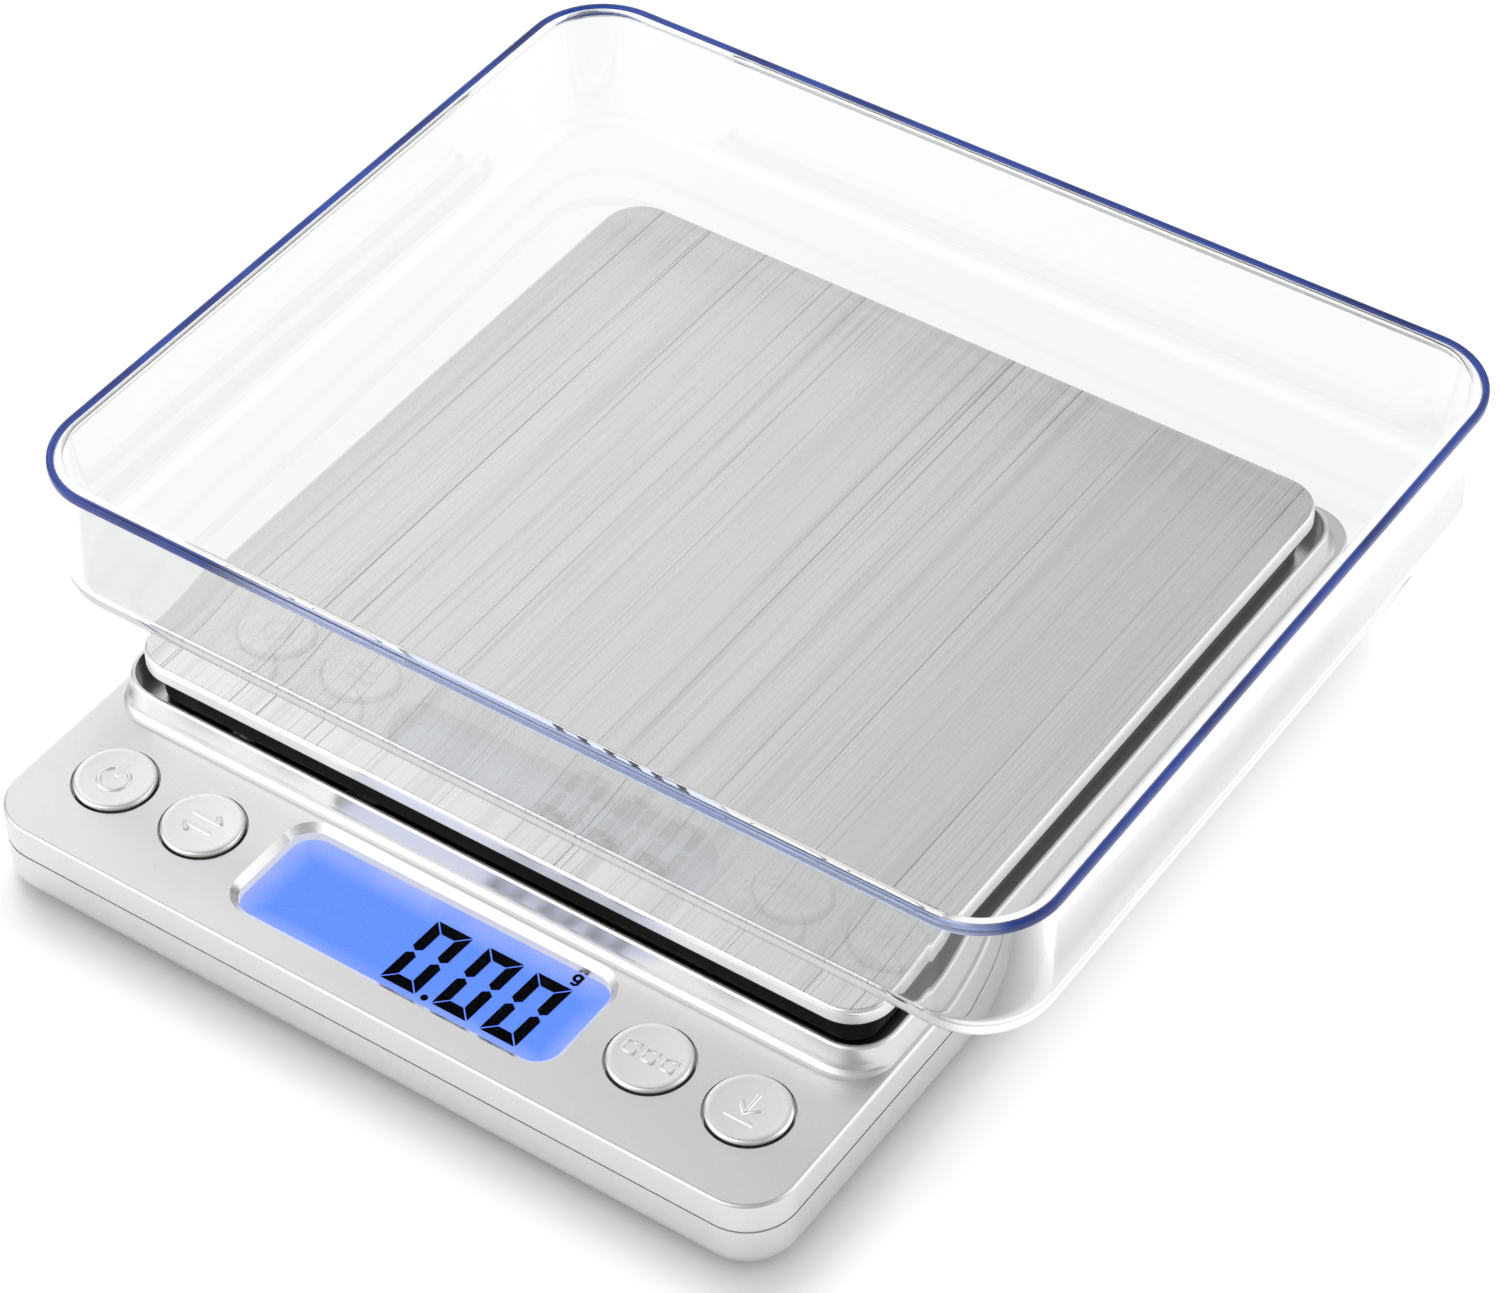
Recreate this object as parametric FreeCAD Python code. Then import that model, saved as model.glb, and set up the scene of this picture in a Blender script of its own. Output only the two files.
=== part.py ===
import FreeCAD, Part
import math
import os

# Pocket kitchen scale with a lift-off clear tray. Millimetres, +Z up, +X to the right of the
# person facing the display, +Y away from them. Every size below is worked in "case" places:
# x = 0 on the centre line, y = 0 at the case's front wall, z = 0 on the table. The finished
# model is then slid along Y so that the origin is the bottom centre of the whole object.

V = FreeCAD.Vector

# ---- working values ------------------------------------------------------------------------
OVER = 1.0                # cutting shapes run past what they cut by this much
LEVEL_TOL = 1e-4          # an edge counts as level within this much

# ---- case -------------------------------------------------------------------------------
CASE_W = 106.0            # case width
CASE_D = 126.0            # case depth
CASE_CORNER = 6.2         # plan radius of the case corners
CASE_LIFT = 1.2           # gap under the case that the feet leave
LOWER_H = 6.2             # lower cover, up to the parting line
UPPER_H = 4.0             # upper cover, parting line to front panel
WALL = 1.6                # side wall thickness of both covers
FLOOR_T = 1.6             # floor of the lower cover
PANEL_T = 2.0             # front panel and the ledge round the platform
LOWER_EDGE = 2.0          # rounded lower edge
PANEL_EDGE = 0.45         # rounded upper edge
SEAM_DEPTH = 0.3          # shadow groove along the parting line
LIP_T = 0.7               # locating lip inside the parting line
LIP_H = 1.0
LIP_GAP = 0.1
FIT = 0.1                 # small clearance between fixed pieces

# ---- raised frame round the platform ---------------------------------------------------------
FRAME_H = 3.4             # frame top above the front panel
FRAME_GAP_X = 0.9         # gap between the platform's edge and the frame, left and right
FRAME_GAP_Y = 0.85        # the same, front and back
FRAME_TOP_T = 0.5         # flat along the frame's top
FRAME_LEAN_X = 0.13       # outward lean of the frame's side walls, mm per mm
FRAME_LEAN_Y = 0.18       # outward lean of its front and back walls
FRAME_COVE = 1.2          # hollow where the frame runs into the panel
FRAME_EDGE = 0.2          # broken edge along the top
LEDGE_W = 3.0             # ledge inside the frame, under the platform's edge
LEDGE_DROP = 3.8          # ledge top below the frame's top

# ---- platform ------------------------------------------------------------------------------
PLATE_W = 100.8
PLATE_D = 98.0
PLATE_FRONT = 23.15       # front edge of the plate, from the case front
PLATE_CORNER = 5.2
PLATE_T = 0.6             # sheet thickness
PLATE_CORNER_EXTRA = 0.3  # plate corners are rounder than the frame's inner corners
PLATE_SKIRT = 2.0         # folded edge, top to lip
PLATE_EDGE = 0.5          # rolled upper edge
PLATE_FLOAT = 1.8         # lip of the plate above the frame's top
PLATE_TRAVEL = 0.4        # sinks this far at full load
CARRIER_T = 1.8
CARRIER_FIT = 0.2         # between carrier and the plate's folded edge
CARRIER_RIB_T = 1.6
CARRIER_RIB_IN = 1.0      # rib in from the carrier's edge
CARRIER_RIB_DROP = 6.0    # rib depth below the plate's underside
CARRIER_POST_W = 12.0

# ---- tray ----------------------------------------------------------------------------------
TRAY_W = 132.7
TRAY_D = 109.0
TRAY_H = 18.8
TRAY_CORNER = 10.0
TRAY_WALL = 1.4
TRAY_FLOOR = 1.6
TRAY_RIM_OUT = 0.45       # rim stands out of the wall
TRAY_RIM_H = 1.3
TRAY_RIM_EDGE = 0.35
TRAY_FOOT_EDGE = 3.2      # rounded lower edge, outside
TRAY_INNER_EDGE = 2.0     # the same, inside
TRAY_SET_BACK = 7.4       # the tray sits this far behind the platform's centre

# ---- load cell -----------------------------------------------------------------------------
CELL_W = 12.0
CELL_L = 47.0
CELL_H = 6.0
CELL_LIFT = 2.2           # boss under the fixed end
CELL_BOSS_OUT = 1.0       # boss wider than the beam, each side
CELL_BORE = 2.1           # radius of the two cross bores
CELL_BORE_PITCH = 13.0
CELL_SLOT = 1.4           # slot that joins the bores
CELL_HOLE = 1.5
CELL_HOLE_PITCH = 6.5
CELL_GAP = 0.45           # gap under the carrier's post, taken up by the bending beam
GAUGE = (8.0, 5.0, 0.3)
GAUGE_CLEAR = 0.3         # between a gauge and the clamped end of the beam
M3_SHAFT = 1.4
M3_CLEAR = 1.6
M3_HEAD = 2.7
M3_HEAD_T = 1.3
M3_SHORT = 1.0            # screw tips stop this far inside the beam

# ---- controls ------------------------------------------------------------------------------
BUTTONS = (("power", -43.2), ("mode", -30.5), ("count", 30.5), ("tare", 43.2))
BUTTON_Y = 11.8
BUTTON_HOLE = 5.1
BUTTON_R = 4.8
BUTTON_FLANGE = 5.6
BUTTON_FLANGE_T = 0.8
BUTTON_PROUD = 0.6
BUTTON_EDGE = 0.3
BUTTON_STEM = 2.0
BUTTON_TRAVEL = 0.5
SWITCH_W = 6.0
SWITCH_H = 1.8
SWITCH_WELL = 1.25        # depth of the well the plunger slides in
PLUNGER_R = 1.5
PLUNGER_FIT = 0.1

# ---- display -------------------------------------------------------------------------------
WINDOW_W = 43.2
WINDOW_D = 14.1
WINDOW_FRONT = 4.95
WINDOW_CORNER = 3.0
WINDOW_BEVEL = 0.85
WINDOW_LAP = 2.1          # lens, glass and frame reach this far past the opening
LENS_T = 0.75
GLASS_T = 1.6
LIGHT_GAP = 0.05          # backlight above the board; it fills the space under the glass
LCD_FRAME_T = 0.9
STRIP_D = 1.4             # conductive strip along the glass's front edge
STRIP_IN = 1.0            # strip shorter than the glass, each end

# ---- circuit board -------------------------------------------------------------------------
BOARD_T = 1.6
BOARD_LIFT = 1.1          # underside above the case floor
BOARD_IN = 2.8            # board edge in from the case's outer wall
BOARD_D = 18.4
BOARD_CORNER = 3.6
BOARD_BOSS_X = 36.85
BOARD_BOSS_Y = (4.9, 18.9)
BOSS_R = 2.0
SMALL_SHAFT = 0.8
SMALL_HEAD = 1.6
SMALL_HEAD_T = 0.9
SMALL_TIP = 0.5           # small screw tips below the panel's underside
CHIP = (9.0, 7.0, 0.85)
CHIP_CORNER = 2.3
CHIP_X = -12.0

# ---- battery bay ---------------------------------------------------------------------------
BATTERY_R = 5.25
BATTERY_BODY = 43.7
BATTERY_NUB_R = 1.9
BATTERY_NUB = 0.8
BATTERY_PITCH = 11.0
BATTERY_FIRST_X = 20.0
BATTERY_FIT = 0.35
BATTERY_LIFT = 0.2        # gap between the cells and the door
BATTERY_EDGE = 0.5        # rounded ends of the cells
BAY_FRONT = 67.2          # inside face of the bay's front wall
BAY_WALL = 1.2
BAY_ROOF = 0.8
CONTACT_T = 0.4
CONTACT_W = 8.0
SPRING_L = 3.5
SPRING_R = 3.0
SPRING_WIRE = 0.3
SPRING_TURNS = 2.5
COIL_STEPS = 16           # points per turn of the spring's line
PIN_R = 0.5
PIN_OUT = 1.2
DOOR_FIT = 0.2
DOOR_TONGUE = 0.8
DOOR_TONGUE_T = 0.5
DOOR_RUNNING = 0.1
DOOR_GRIP = (12.0, 0.8, 0.35)
DOOR_GRIPS = 5
DOOR_GRIP_PITCH = 2.0

# ---- fixings -------------------------------------------------------------------------------
SCREW_IN_X = 6.2          # case screws, in from the opening's sides, front and back
SCREW_IN_FRONT = 6.2
SCREW_IN_BACK = 4.5
SCREW_SHAFT = 1.2
SCREW_CLEAR = 1.4
SCREW_HEAD = 2.2
SCREW_HEAD_T = 1.4
SCREW_SINK = 0.4
SCREW_POST = 3.4
SCREW_COVER = 0.6         # plastic left over the ends of the screw holes
SCREW_TIP_GAP = 0.2       # screw tips stop short of the ends of their holes
HEAD_CLEAR = 0.25         # screw heads in their recesses
SLOT_LONG = 0.6           # drive slot, as shares of the head's radius
SLOT_WIDE = 0.12
FOOT_R = 5.0
FOOT_SINK = 0.8
FOOT_X = 44.2
FOOT_IN_FRONT = 13.0
FOOT_IN_BACK = 18.0
FOOT_EDGE = 0.4
STOP_X = 42.5
STOP_IN_FRONT = 18.85     # stops, in from the platform's front and back
STOP_IN_BACK = 26.15
STOP_R = 1.5
STOP_POST = 3.0
STOP_POST_H = 9.2
STOP_SEAT = 1.0           # pins start this far above the case floor
STOP_GAP = 0.05           # left between stop and carrier at full travel
WIRE_R = 0.5
CABLE_R = 0.8
CABLE_DROP = 1.6          # cable leaves the beam this far below its top
LEAD_POSITIVE_X = 28.0    # places where the leads land on the board
LEAD_NEGATIVE_X = 32.4
CABLE_X = -28.0
LAND_IN = 1.6             # landing places in from the board's back edge
LEAD_BEND = 0.45          # share of a straight run that a bend may use
LEAD_LEAVE = 0.25         # share of the way a lead runs straight on from its start
LEAD_WAY = ((0.42, 0.52, 1.5), (0.86, 0.78, 1.9))  # share across, share forward, height over the board
LEAD_ARCH = 0.6           # share of the space over the board that a lead's last bend uses

# ---- places that follow from the sizes ------------------------------------------------------
HALF_W = CASE_W / 2
FLOOR_Z = CASE_LIFT + FLOOR_T
SEAM_Z = CASE_LIFT + LOWER_H
PANEL_Z = SEAM_Z + UPPER_H
UNDER_Z = PANEL_Z - PANEL_T
FRAME_Z = PANEL_Z + FRAME_H
LEDGE_Z = FRAME_Z - LEDGE_DROP
PLATE_Z = FRAME_Z + PLATE_FLOAT + PLATE_SKIRT
CARRIER_TOP = PLATE_Z - PLATE_T
CARRIER_LOW = CARRIER_TOP - CARRIER_T
PLATE_BACK = PLATE_FRONT + PLATE_D
PLATE_MID = (PLATE_FRONT + PLATE_BACK) / 2
OPEN_X = PLATE_W / 2 + FRAME_GAP_X
OPEN_FRONT = PLATE_FRONT - FRAME_GAP_Y
OPEN_BACK = PLATE_BACK + FRAME_GAP_Y
OPEN_CORNER = PLATE_CORNER - PLATE_CORNER_EXTRA
TRAY_MID = PLATE_MID + TRAY_SET_BACK
CELL_Z = FLOOR_Z + CELL_LIFT
CELL_TOP = CELL_Z + CELL_H
CELL_FRONT = PLATE_MID - CELL_L / 2
CELL_BACK = CELL_FRONT + CELL_L
CELL_END = (CELL_L - CELL_BORE_PITCH - GAUGE[1]) / 2 - GAUGE_CLEAR
BOARD_Z = FLOOR_Z + BOARD_LIFT
BOARD_TOP = BOARD_Z + BOARD_T
LENS_Z = UNDER_Z - LENS_T
GLASS_Z = LENS_Z - GLASS_T
LIGHT_Z = BOARD_TOP + LIGHT_GAP
WINDOW_BACK = WINDOW_FRONT + WINDOW_D
BAY_CONTACT_GAP = 2 * CONTACT_T + SPRING_L + BATTERY_NUB
BAY_BACK = BAY_FRONT + BATTERY_BODY + BAY_CONTACT_GAP
BAY_LEFT = BATTERY_FIRST_X - BATTERY_R - BATTERY_FIT
BAY_RIGHT = BATTERY_FIRST_X + BATTERY_PITCH + BATTERY_R + BATTERY_FIT
BATTERY_Z = FLOOR_Z + BATTERY_LIFT + BATTERY_R
BAY_TOP = BATTERY_Z + BATTERY_R + FIT
SCREW_X = OPEN_X - SCREW_IN_X
SCREW_YS = (OPEN_FRONT + SCREW_IN_FRONT, OPEN_BACK - SCREW_IN_BACK)
FOOT_YS = (FOOT_IN_FRONT, CASE_D - FOOT_IN_BACK)
STOP_YS = (PLATE_FRONT + STOP_IN_FRONT, PLATE_BACK - STOP_IN_BACK)
STOP_TOP = CARRIER_LOW - PLATE_TRAVEL - STOP_GAP

FRONT_MOST = min(0.0, TRAY_MID - TRAY_D / 2)
BACK_MOST = max(CASE_D, TRAY_MID + TRAY_D / 2)
SLIDE_Y = -(FRONT_MOST + BACK_MOST) / 2


# ---- shape helpers -------------------------------------------------------------------------
def outline(x0, x1, y0, y1, radius, z):
    """Closed rounded rectangle at height z."""
    middle = radius * math.sqrt(0.5)
    edges = []
    corners = ((x1 - radius, y0 + radius, 1, -1), (x1 - radius, y1 - radius, 1, 1),
               (x0 + radius, y1 - radius, -1, 1), (x0 + radius, y0 + radius, -1, -1))
    ends = []
    for cx, cy, sx, sy in corners:
        along_x = V(cx, cy + sy * radius, z)
        along_y = V(cx + sx * radius, cy, z)
        first, last = (along_x, along_y) if sx * sy < 0 else (along_y, along_x)
        ends.append((first, V(cx + sx * middle, cy + sy * middle, z), last))
    for k, (first, mid, last) in enumerate(ends):
        edges.append(Part.Arc(first, mid, last).toShape())
        edges.append(Part.LineSegment(last, ends[(k + 1) % 4][0]).toShape())
    return Part.Wire(edges)


def slab(x0, x1, y0, y1, radius, z0, z1):
    """Upright block with rounded corners."""
    return Part.Face(outline(x0, x1, y0, y1, radius, z0)).extrude(V(0, 0, z1 - z0))


def block(x0, x1, y0, y1, z0, z1):
    """Upright block with square corners."""
    return Part.makeBox(x1 - x0, y1 - y0, z1 - z0, V(x0, y0, z0))


def rod(x, y, radius, z0, z1):
    """Upright round bar."""
    return Part.makeCylinder(radius, z1 - z0, V(x, y, z0))


def round_level_edges(shape, z, radius):
    """Round the outer edges that lie at height z."""
    edges = [e for e in shape.Edges if abs(e.BoundBox.ZMin - z) < LEVEL_TOL
             and abs(e.BoundBox.ZMax - z) < LEVEL_TOL]
    return shape.makeFillet(radius, edges)


def union(first, others):
    """One solid out of pieces that touch."""
    return first.fuse(list(others)).removeSplitter()


def case_slab(inset, z0, z1):
    """Block that follows the case outline, set in from its walls."""
    return slab(-HALF_W + inset, HALF_W - inset, inset, CASE_D - inset, CASE_CORNER - inset, z0, z1)


def four_corners(x, ys):
    """The four places (+-x, y) of a symmetric set."""
    return [(side * x, y) for y in ys for side in (-1, 1)]


def headed_screw(x, y, head_z, head_r, head_t, shaft_r, tip_z):
    """Screw with its head at one end; the tip may be above or below the head."""
    rising = tip_z > head_z
    head_low = head_z - head_t if rising else head_z
    head = rod(x, y, head_r, head_low, head_low + head_t)
    shaft = rod(x, y, shaft_r, min(head_z, tip_z), max(head_z, tip_z))
    drive_face = head_low if rising else head_low + head_t / 2
    slot_x = head_r * SLOT_LONG
    slot_y = head_r * SLOT_WIDE
    drive = block(x - slot_x, x + slot_x, y - slot_y, y + slot_y, drive_face, drive_face + head_t / 2)
    return head.fuse(shaft).removeSplitter().cut(drive)


def tube_along(points, radius):
    """Round lead along straight runs joined by tangent arcs."""
    runs = [points[k + 1] - points[k] for k in range(len(points) - 1)]
    edges = []
    start = points[0]
    for k in range(1, len(points) - 1):
        before = runs[k - 1]
        after = runs[k]
        turn = before.getAngle(after)
        shorter = min(before.Length, after.Length)
        setback = LEAD_BEND * shorter
        bend = setback / math.tan(turn / 2)
        into = points[k] - V(before).normalize() * setback
        out = points[k] + V(after).normalize() * setback
        towards = (V(after).normalize() - V(before).normalize()).normalize()
        centre = points[k] + towards * math.hypot(bend, setback)
        crest = centre - towards * bend
        edges.append(Part.LineSegment(start, into).toShape())
        edges.append(Part.Arc(into, crest, out).toShape())
        start = out
    edges.append(Part.LineSegment(start, points[-1]).toShape())
    path = Part.Wire(edges)
    section = Part.Wire(Part.makeCircle(radius, points[0], runs[0]))
    return path.makePipeShell([section], True, False)


def coil_spring(x, y0, z, length, radius, wire_r, turns):
    """Compression spring along Y, its ends resting at y0 and y0 + length."""
    rise = length - 2 * wire_r
    count = round(turns * COIL_STEPS)
    points = []
    for k in range(count + 1):
        angle = 2 * math.pi * k / COIL_STEPS
        points.append(V(x + radius * math.cos(angle), y0 + wire_r + rise * k / count, z + radius * math.sin(angle)))
    line = Part.BSplineCurve()
    line.interpolate(points)
    section = Part.Wire(Part.makeCircle(wire_r, points[0], line.tangent(line.FirstParameter)[0]))
    return Part.Wire(line.toShape()).makePipeShell([section], True, False)


# ---- covers --------------------------------------------------------------------------------
def frame_section(height):
    """Outline of the raised frame's outside at a height above the panel."""
    drop = FRAME_H - height
    lean_x = FRAME_TOP_T + FRAME_LEAN_X * drop
    lean_y = FRAME_TOP_T + FRAME_LEAN_Y * drop
    cove = max(0.0, FRAME_COVE - max(height, 0.0))
    hollow = FRAME_COVE - math.sqrt(FRAME_COVE ** 2 - cove ** 2)
    broken = max(0.0, height - (FRAME_H - FRAME_EDGE))
    out_x = lean_x - broken
    out_y = lean_y + hollow - broken
    return outline(-OPEN_X - out_x, OPEN_X + out_x, OPEN_FRONT - out_y, OPEN_BACK + out_y,
                   OPEN_CORNER + out_x, PANEL_Z + height)


def raised_frame():
    """Solid block under the frame's leaning and coved outside."""
    cove_steps = [FRAME_COVE * (1 - math.cos(math.radians(a))) for a in range(0, 91, 15)]
    heights = cove_steps + [FRAME_H - FRAME_EDGE, FRAME_H]
    sections = [frame_section(height) for height in heights]
    upper = Part.makeLoft(sections, True, True)
    root = sections[0].copy()
    root.translate(V(0, 0, -PANEL_EDGE))
    lower = Part.Face(root).extrude(V(0, 0, PANEL_EDGE))
    return upper.fuse(lower)


def window_opening():
    """Display opening with its sloping bezel."""
    half = WINDOW_W / 2
    hole = slab(-half, half, WINDOW_FRONT, WINDOW_BACK, WINDOW_CORNER, UNDER_Z - OVER, PANEL_Z + OVER)
    sections = []
    for spread in (0.0, 2 * WINDOW_BEVEL):
        sections.append(outline(-half - spread, half + spread, WINDOW_FRONT - spread, WINDOW_BACK + spread,
                                WINDOW_CORNER + spread, PANEL_Z - WINDOW_BEVEL + spread))
    return hole.fuse(Part.makeLoft(sections, True, True))


def top_cover():
    """Upper case: panel, raised frame, ledge and bosses."""
    body = round_level_edges(case_slab(0, SEAM_Z, PANEL_Z), PANEL_Z, PANEL_EDGE)
    body = body.fuse(raised_frame())
    body = body.cut(case_slab(WALL, SEAM_Z - OVER, UNDER_Z))
    body = body.cut(slab(-OPEN_X, OPEN_X, OPEN_FRONT, OPEN_BACK, OPEN_CORNER, LEDGE_Z, FRAME_Z + OVER))
    body = body.cut(slab(-OPEN_X + LEDGE_W, OPEN_X - LEDGE_W, OPEN_FRONT + LEDGE_W, OPEN_BACK - LEDGE_W,
                         OPEN_CORNER, UNDER_Z - OVER, LEDGE_Z + OVER))
    body = body.cut(window_opening())
    board_bosses = four_corners(BOARD_BOSS_X, BOARD_BOSS_Y)
    screw_places = four_corners(SCREW_X, SCREW_YS)
    posts = [rod(x, y, BOSS_R, BOARD_TOP, UNDER_Z + FIT) for x, y in board_bosses]
    posts += [rod(x, y, SCREW_POST, SEAM_Z, LEDGE_Z) for x, y in screw_places]
    body = body.fuse(posts)
    holes = [rod(x, BUTTON_Y, BUTTON_HOLE, UNDER_Z - OVER, PANEL_Z + OVER) for _, x in BUTTONS]
    holes += [rod(x, y, SMALL_SHAFT, BOARD_TOP - OVER, UNDER_Z) for x, y in board_bosses]
    holes += [rod(x, y, SCREW_SHAFT, SEAM_Z - OVER, LEDGE_Z - SCREW_COVER) for x, y in screw_places]
    return body.cut(holes).removeSplitter()


def door_space(clearance, run_clearance):
    """Space of the battery door and its side tongues, grown by the clearances."""
    left = BAY_LEFT + DOOR_FIT - clearance
    right = BAY_RIGHT - DOOR_FIT + clearance
    front = BAY_FRONT + DOOR_FIT - clearance
    middle = CASE_LIFT + FLOOR_T / 2
    half_t = DOOR_TONGUE_T / 2 + run_clearance
    plate = block(left, right, front, CASE_D + OVER, CASE_LIFT - OVER, FLOOR_Z)
    tongues = block(left - DOOR_TONGUE, right + DOOR_TONGUE, front, CASE_D + OVER,
                    middle - half_t, middle + half_t)
    return plate.fuse(tongues)


def lower_shell():
    """Outside of the lower case, with its rounded lower edge and the seam groove."""
    shell = round_level_edges(case_slab(0, CASE_LIFT, SEAM_Z - SEAM_DEPTH), CASE_LIFT, LOWER_EDGE)
    return union(shell, [case_slab(SEAM_DEPTH, SEAM_Z - SEAM_DEPTH, SEAM_Z)])


def battery_bay():
    """Walls and roof round the two cells, and the roof over the door behind them."""
    box = block(BAY_LEFT - BAY_WALL, BAY_RIGHT + BAY_WALL, BAY_FRONT - BAY_WALL, BAY_BACK + BAY_WALL,
                FLOOR_Z, BAY_TOP + BAY_ROOF)
    tunnel = block(BAY_LEFT - BAY_WALL, BAY_RIGHT + BAY_WALL, BAY_BACK, CASE_D - WALL / 2,
                   FLOOR_Z, FLOOR_Z + BAY_WALL)
    return box.fuse(tunnel)


def bottom_cover():
    """Lower case: tray-shaped shell, lip, bosses and battery bay."""
    inside = round_level_edges(case_slab(WALL, FLOOR_Z, SEAM_Z + OVER), FLOOR_Z, LOWER_EDGE / 2)
    body = lower_shell().cut(inside)
    lip_in = WALL + LIP_GAP
    lip = case_slab(lip_in, SEAM_Z - 2 * LIP_H, SEAM_Z + LIP_H)
    lip = lip.cut(case_slab(lip_in + LIP_T, SEAM_Z - 3 * LIP_H, SEAM_Z + 2 * LIP_H))
    seat = case_slab(WALL / 2, SEAM_Z - 2 * LIP_H, SEAM_Z)
    seat = seat.cut(case_slab(lip_in + LIP_T, SEAM_Z - 3 * LIP_H, SEAM_Z + LIP_H))
    bosses = [rod(x, y, SCREW_POST, FLOOR_Z - FIT, SEAM_Z) for x, y in four_corners(SCREW_X, SCREW_YS)]
    bosses += [rod(x, y, STOP_POST, FLOOR_Z - FIT, FLOOR_Z + STOP_POST_H)
               for x, y in four_corners(STOP_X, STOP_YS)]
    boss_x = CELL_W / 2 + CELL_BOSS_OUT
    cell_boss = block(-boss_x, boss_x, CELL_FRONT, CELL_FRONT + CELL_END, FLOOR_Z - FIT, CELL_Z)
    body = body.fuse([lip, seat, cell_boss, battery_bay()] + bosses)
    cuts = [block(BAY_LEFT, BAY_RIGHT, BAY_FRONT, BAY_BACK, CASE_LIFT - OVER, BAY_TOP)]
    cuts.append(door_space(DOOR_FIT, DOOR_RUNNING))
    for x, y in four_corners(SCREW_X, SCREW_YS):
        head_z = CASE_LIFT + SCREW_SINK + SCREW_HEAD_T
        cuts.append(rod(x, y, SCREW_CLEAR, CASE_LIFT - OVER, SEAM_Z + OVER))
        cuts.append(rod(x, y, SCREW_HEAD + HEAD_CLEAR, CASE_LIFT - OVER, head_z))
    for x, y in four_corners(STOP_X, STOP_YS):
        cuts.append(rod(x, y, STOP_R, FLOOR_Z + STOP_SEAT, FLOOR_Z + STOP_POST_H + OVER))
    for x, y in four_corners(FOOT_X, FOOT_YS):
        cuts.append(rod(x, y, FOOT_R + FIT, CASE_LIFT - OVER, CASE_LIFT + FOOT_SINK))
    for y in fixed_cell_holes():
        cuts.append(rod(0, y, M3_CLEAR, CASE_LIFT - OVER, CELL_Z + OVER))
        cuts.append(rod(0, y, M3_HEAD + HEAD_CLEAR, CASE_LIFT - OVER, CASE_LIFT + SCREW_SINK + M3_HEAD_T))
    for x in (BATTERY_FIRST_X, BATTERY_FIRST_X + BATTERY_PITCH):
        cuts.append(Part.makeCylinder(PIN_R + FIT, 2 * BAY_WALL, V(x, BAY_FRONT - 1.5 * BAY_WALL,
                                                                   BATTERY_Z),
                                      V(0, 1, 0)))
    return body.cut(cuts).removeSplitter()


def battery_door():
    """Sliding door flush with the underside, with finger ridges."""
    plate = door_space(0.0, 0.0).common(lower_shell())
    width, depth, height = DOOR_GRIP
    middle = (BAY_LEFT + BAY_RIGHT) / 2
    ridges = []
    for k in range(DOOR_GRIPS):
        y = CASE_D - 2 * LOWER_EDGE - DOOR_GRIP_PITCH * (k + 1)
        ridges.append(block(middle - width / 2, middle + width / 2, y - depth, y,
                            CASE_LIFT - height, CASE_LIFT + height))
    return union(plate, ridges)


# ---- power ---------------------------------------------------------------------------------
def battery(x, nub_forward):
    """Round cell lying along Y."""
    near = BAY_FRONT + CONTACT_T
    start = near + BATTERY_NUB if nub_forward else near + SPRING_L
    can = Part.makeCylinder(BATTERY_R, BATTERY_BODY, V(x, start, BATTERY_Z), V(0, 1, 0))
    can = can.makeFillet(BATTERY_EDGE, [e for e in can.Edges if e.Curve.TypeId == "Part::GeomCircle"])
    nub_y = near if nub_forward else start + BATTERY_BODY
    nub = Part.makeCylinder(BATTERY_NUB_R, BATTERY_NUB, V(x, nub_y, BATTERY_Z), V(0, 1, 0))
    return union(can, [nub])


def contact_plate(x0, x1, y):
    """Flat contact standing against an end wall of the bay."""
    return block(x0, x1, y, y + CONTACT_T, BATTERY_Z - CONTACT_W / 2, BATTERY_Z + CONTACT_W / 2)


def terminal(x):
    """Front contact with the pin its lead is soldered to."""
    plate = contact_plate(x - CONTACT_W / 2, x + CONTACT_W / 2, BAY_FRONT)
    length = BAY_WALL + PIN_OUT
    pin = Part.makeCylinder(PIN_R, length, V(x, BAY_FRONT - length, BATTERY_Z), V(0, 1, 0))
    return union(plate, [pin])


# ---- weighing ------------------------------------------------------------------------------
def fixed_cell_holes():
    middle = CELL_FRONT + CELL_END / 2
    return (middle - CELL_HOLE_PITCH / 2, middle + CELL_HOLE_PITCH / 2)


def free_cell_holes():
    middle = CELL_BACK - CELL_END / 2
    return (middle - CELL_HOLE_PITCH / 2, middle + CELL_HOLE_PITCH / 2)


def load_cell():
    """Bending beam with two cross bores joined by a slot."""
    beam = block(-CELL_W / 2, CELL_W / 2, CELL_FRONT, CELL_BACK, CELL_Z, CELL_TOP)
    middle_z = CELL_Z + CELL_H / 2
    cuts = []
    for side in (-1, 1):
        y = PLATE_MID + side * CELL_BORE_PITCH / 2
        cuts.append(Part.makeCylinder(CELL_BORE, CELL_W + 2 * OVER, V(-CELL_W / 2 - OVER, y, middle_z),
                                      V(1, 0, 0)))
    cuts.append(block(-CELL_W / 2 - OVER, CELL_W / 2 + OVER, PLATE_MID - CELL_BORE_PITCH / 2,
                      PLATE_MID + CELL_BORE_PITCH / 2, middle_z - CELL_SLOT / 2, middle_z + CELL_SLOT / 2))
    for y in fixed_cell_holes() + free_cell_holes():
        cuts.append(rod(0, y, CELL_HOLE, CELL_Z - OVER, CELL_TOP + OVER))
    return beam.cut(cuts)


def strain_gauge(side, top):
    """Foil gauge bonded over one thin web of the beam."""
    width, depth, thick = GAUGE
    y = PLATE_MID + side * CELL_BORE_PITCH / 2
    z = CELL_TOP if top else CELL_Z - thick
    return block(-width / 2, width / 2, y - depth / 2, y + depth / 2, z, z + thick)


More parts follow.
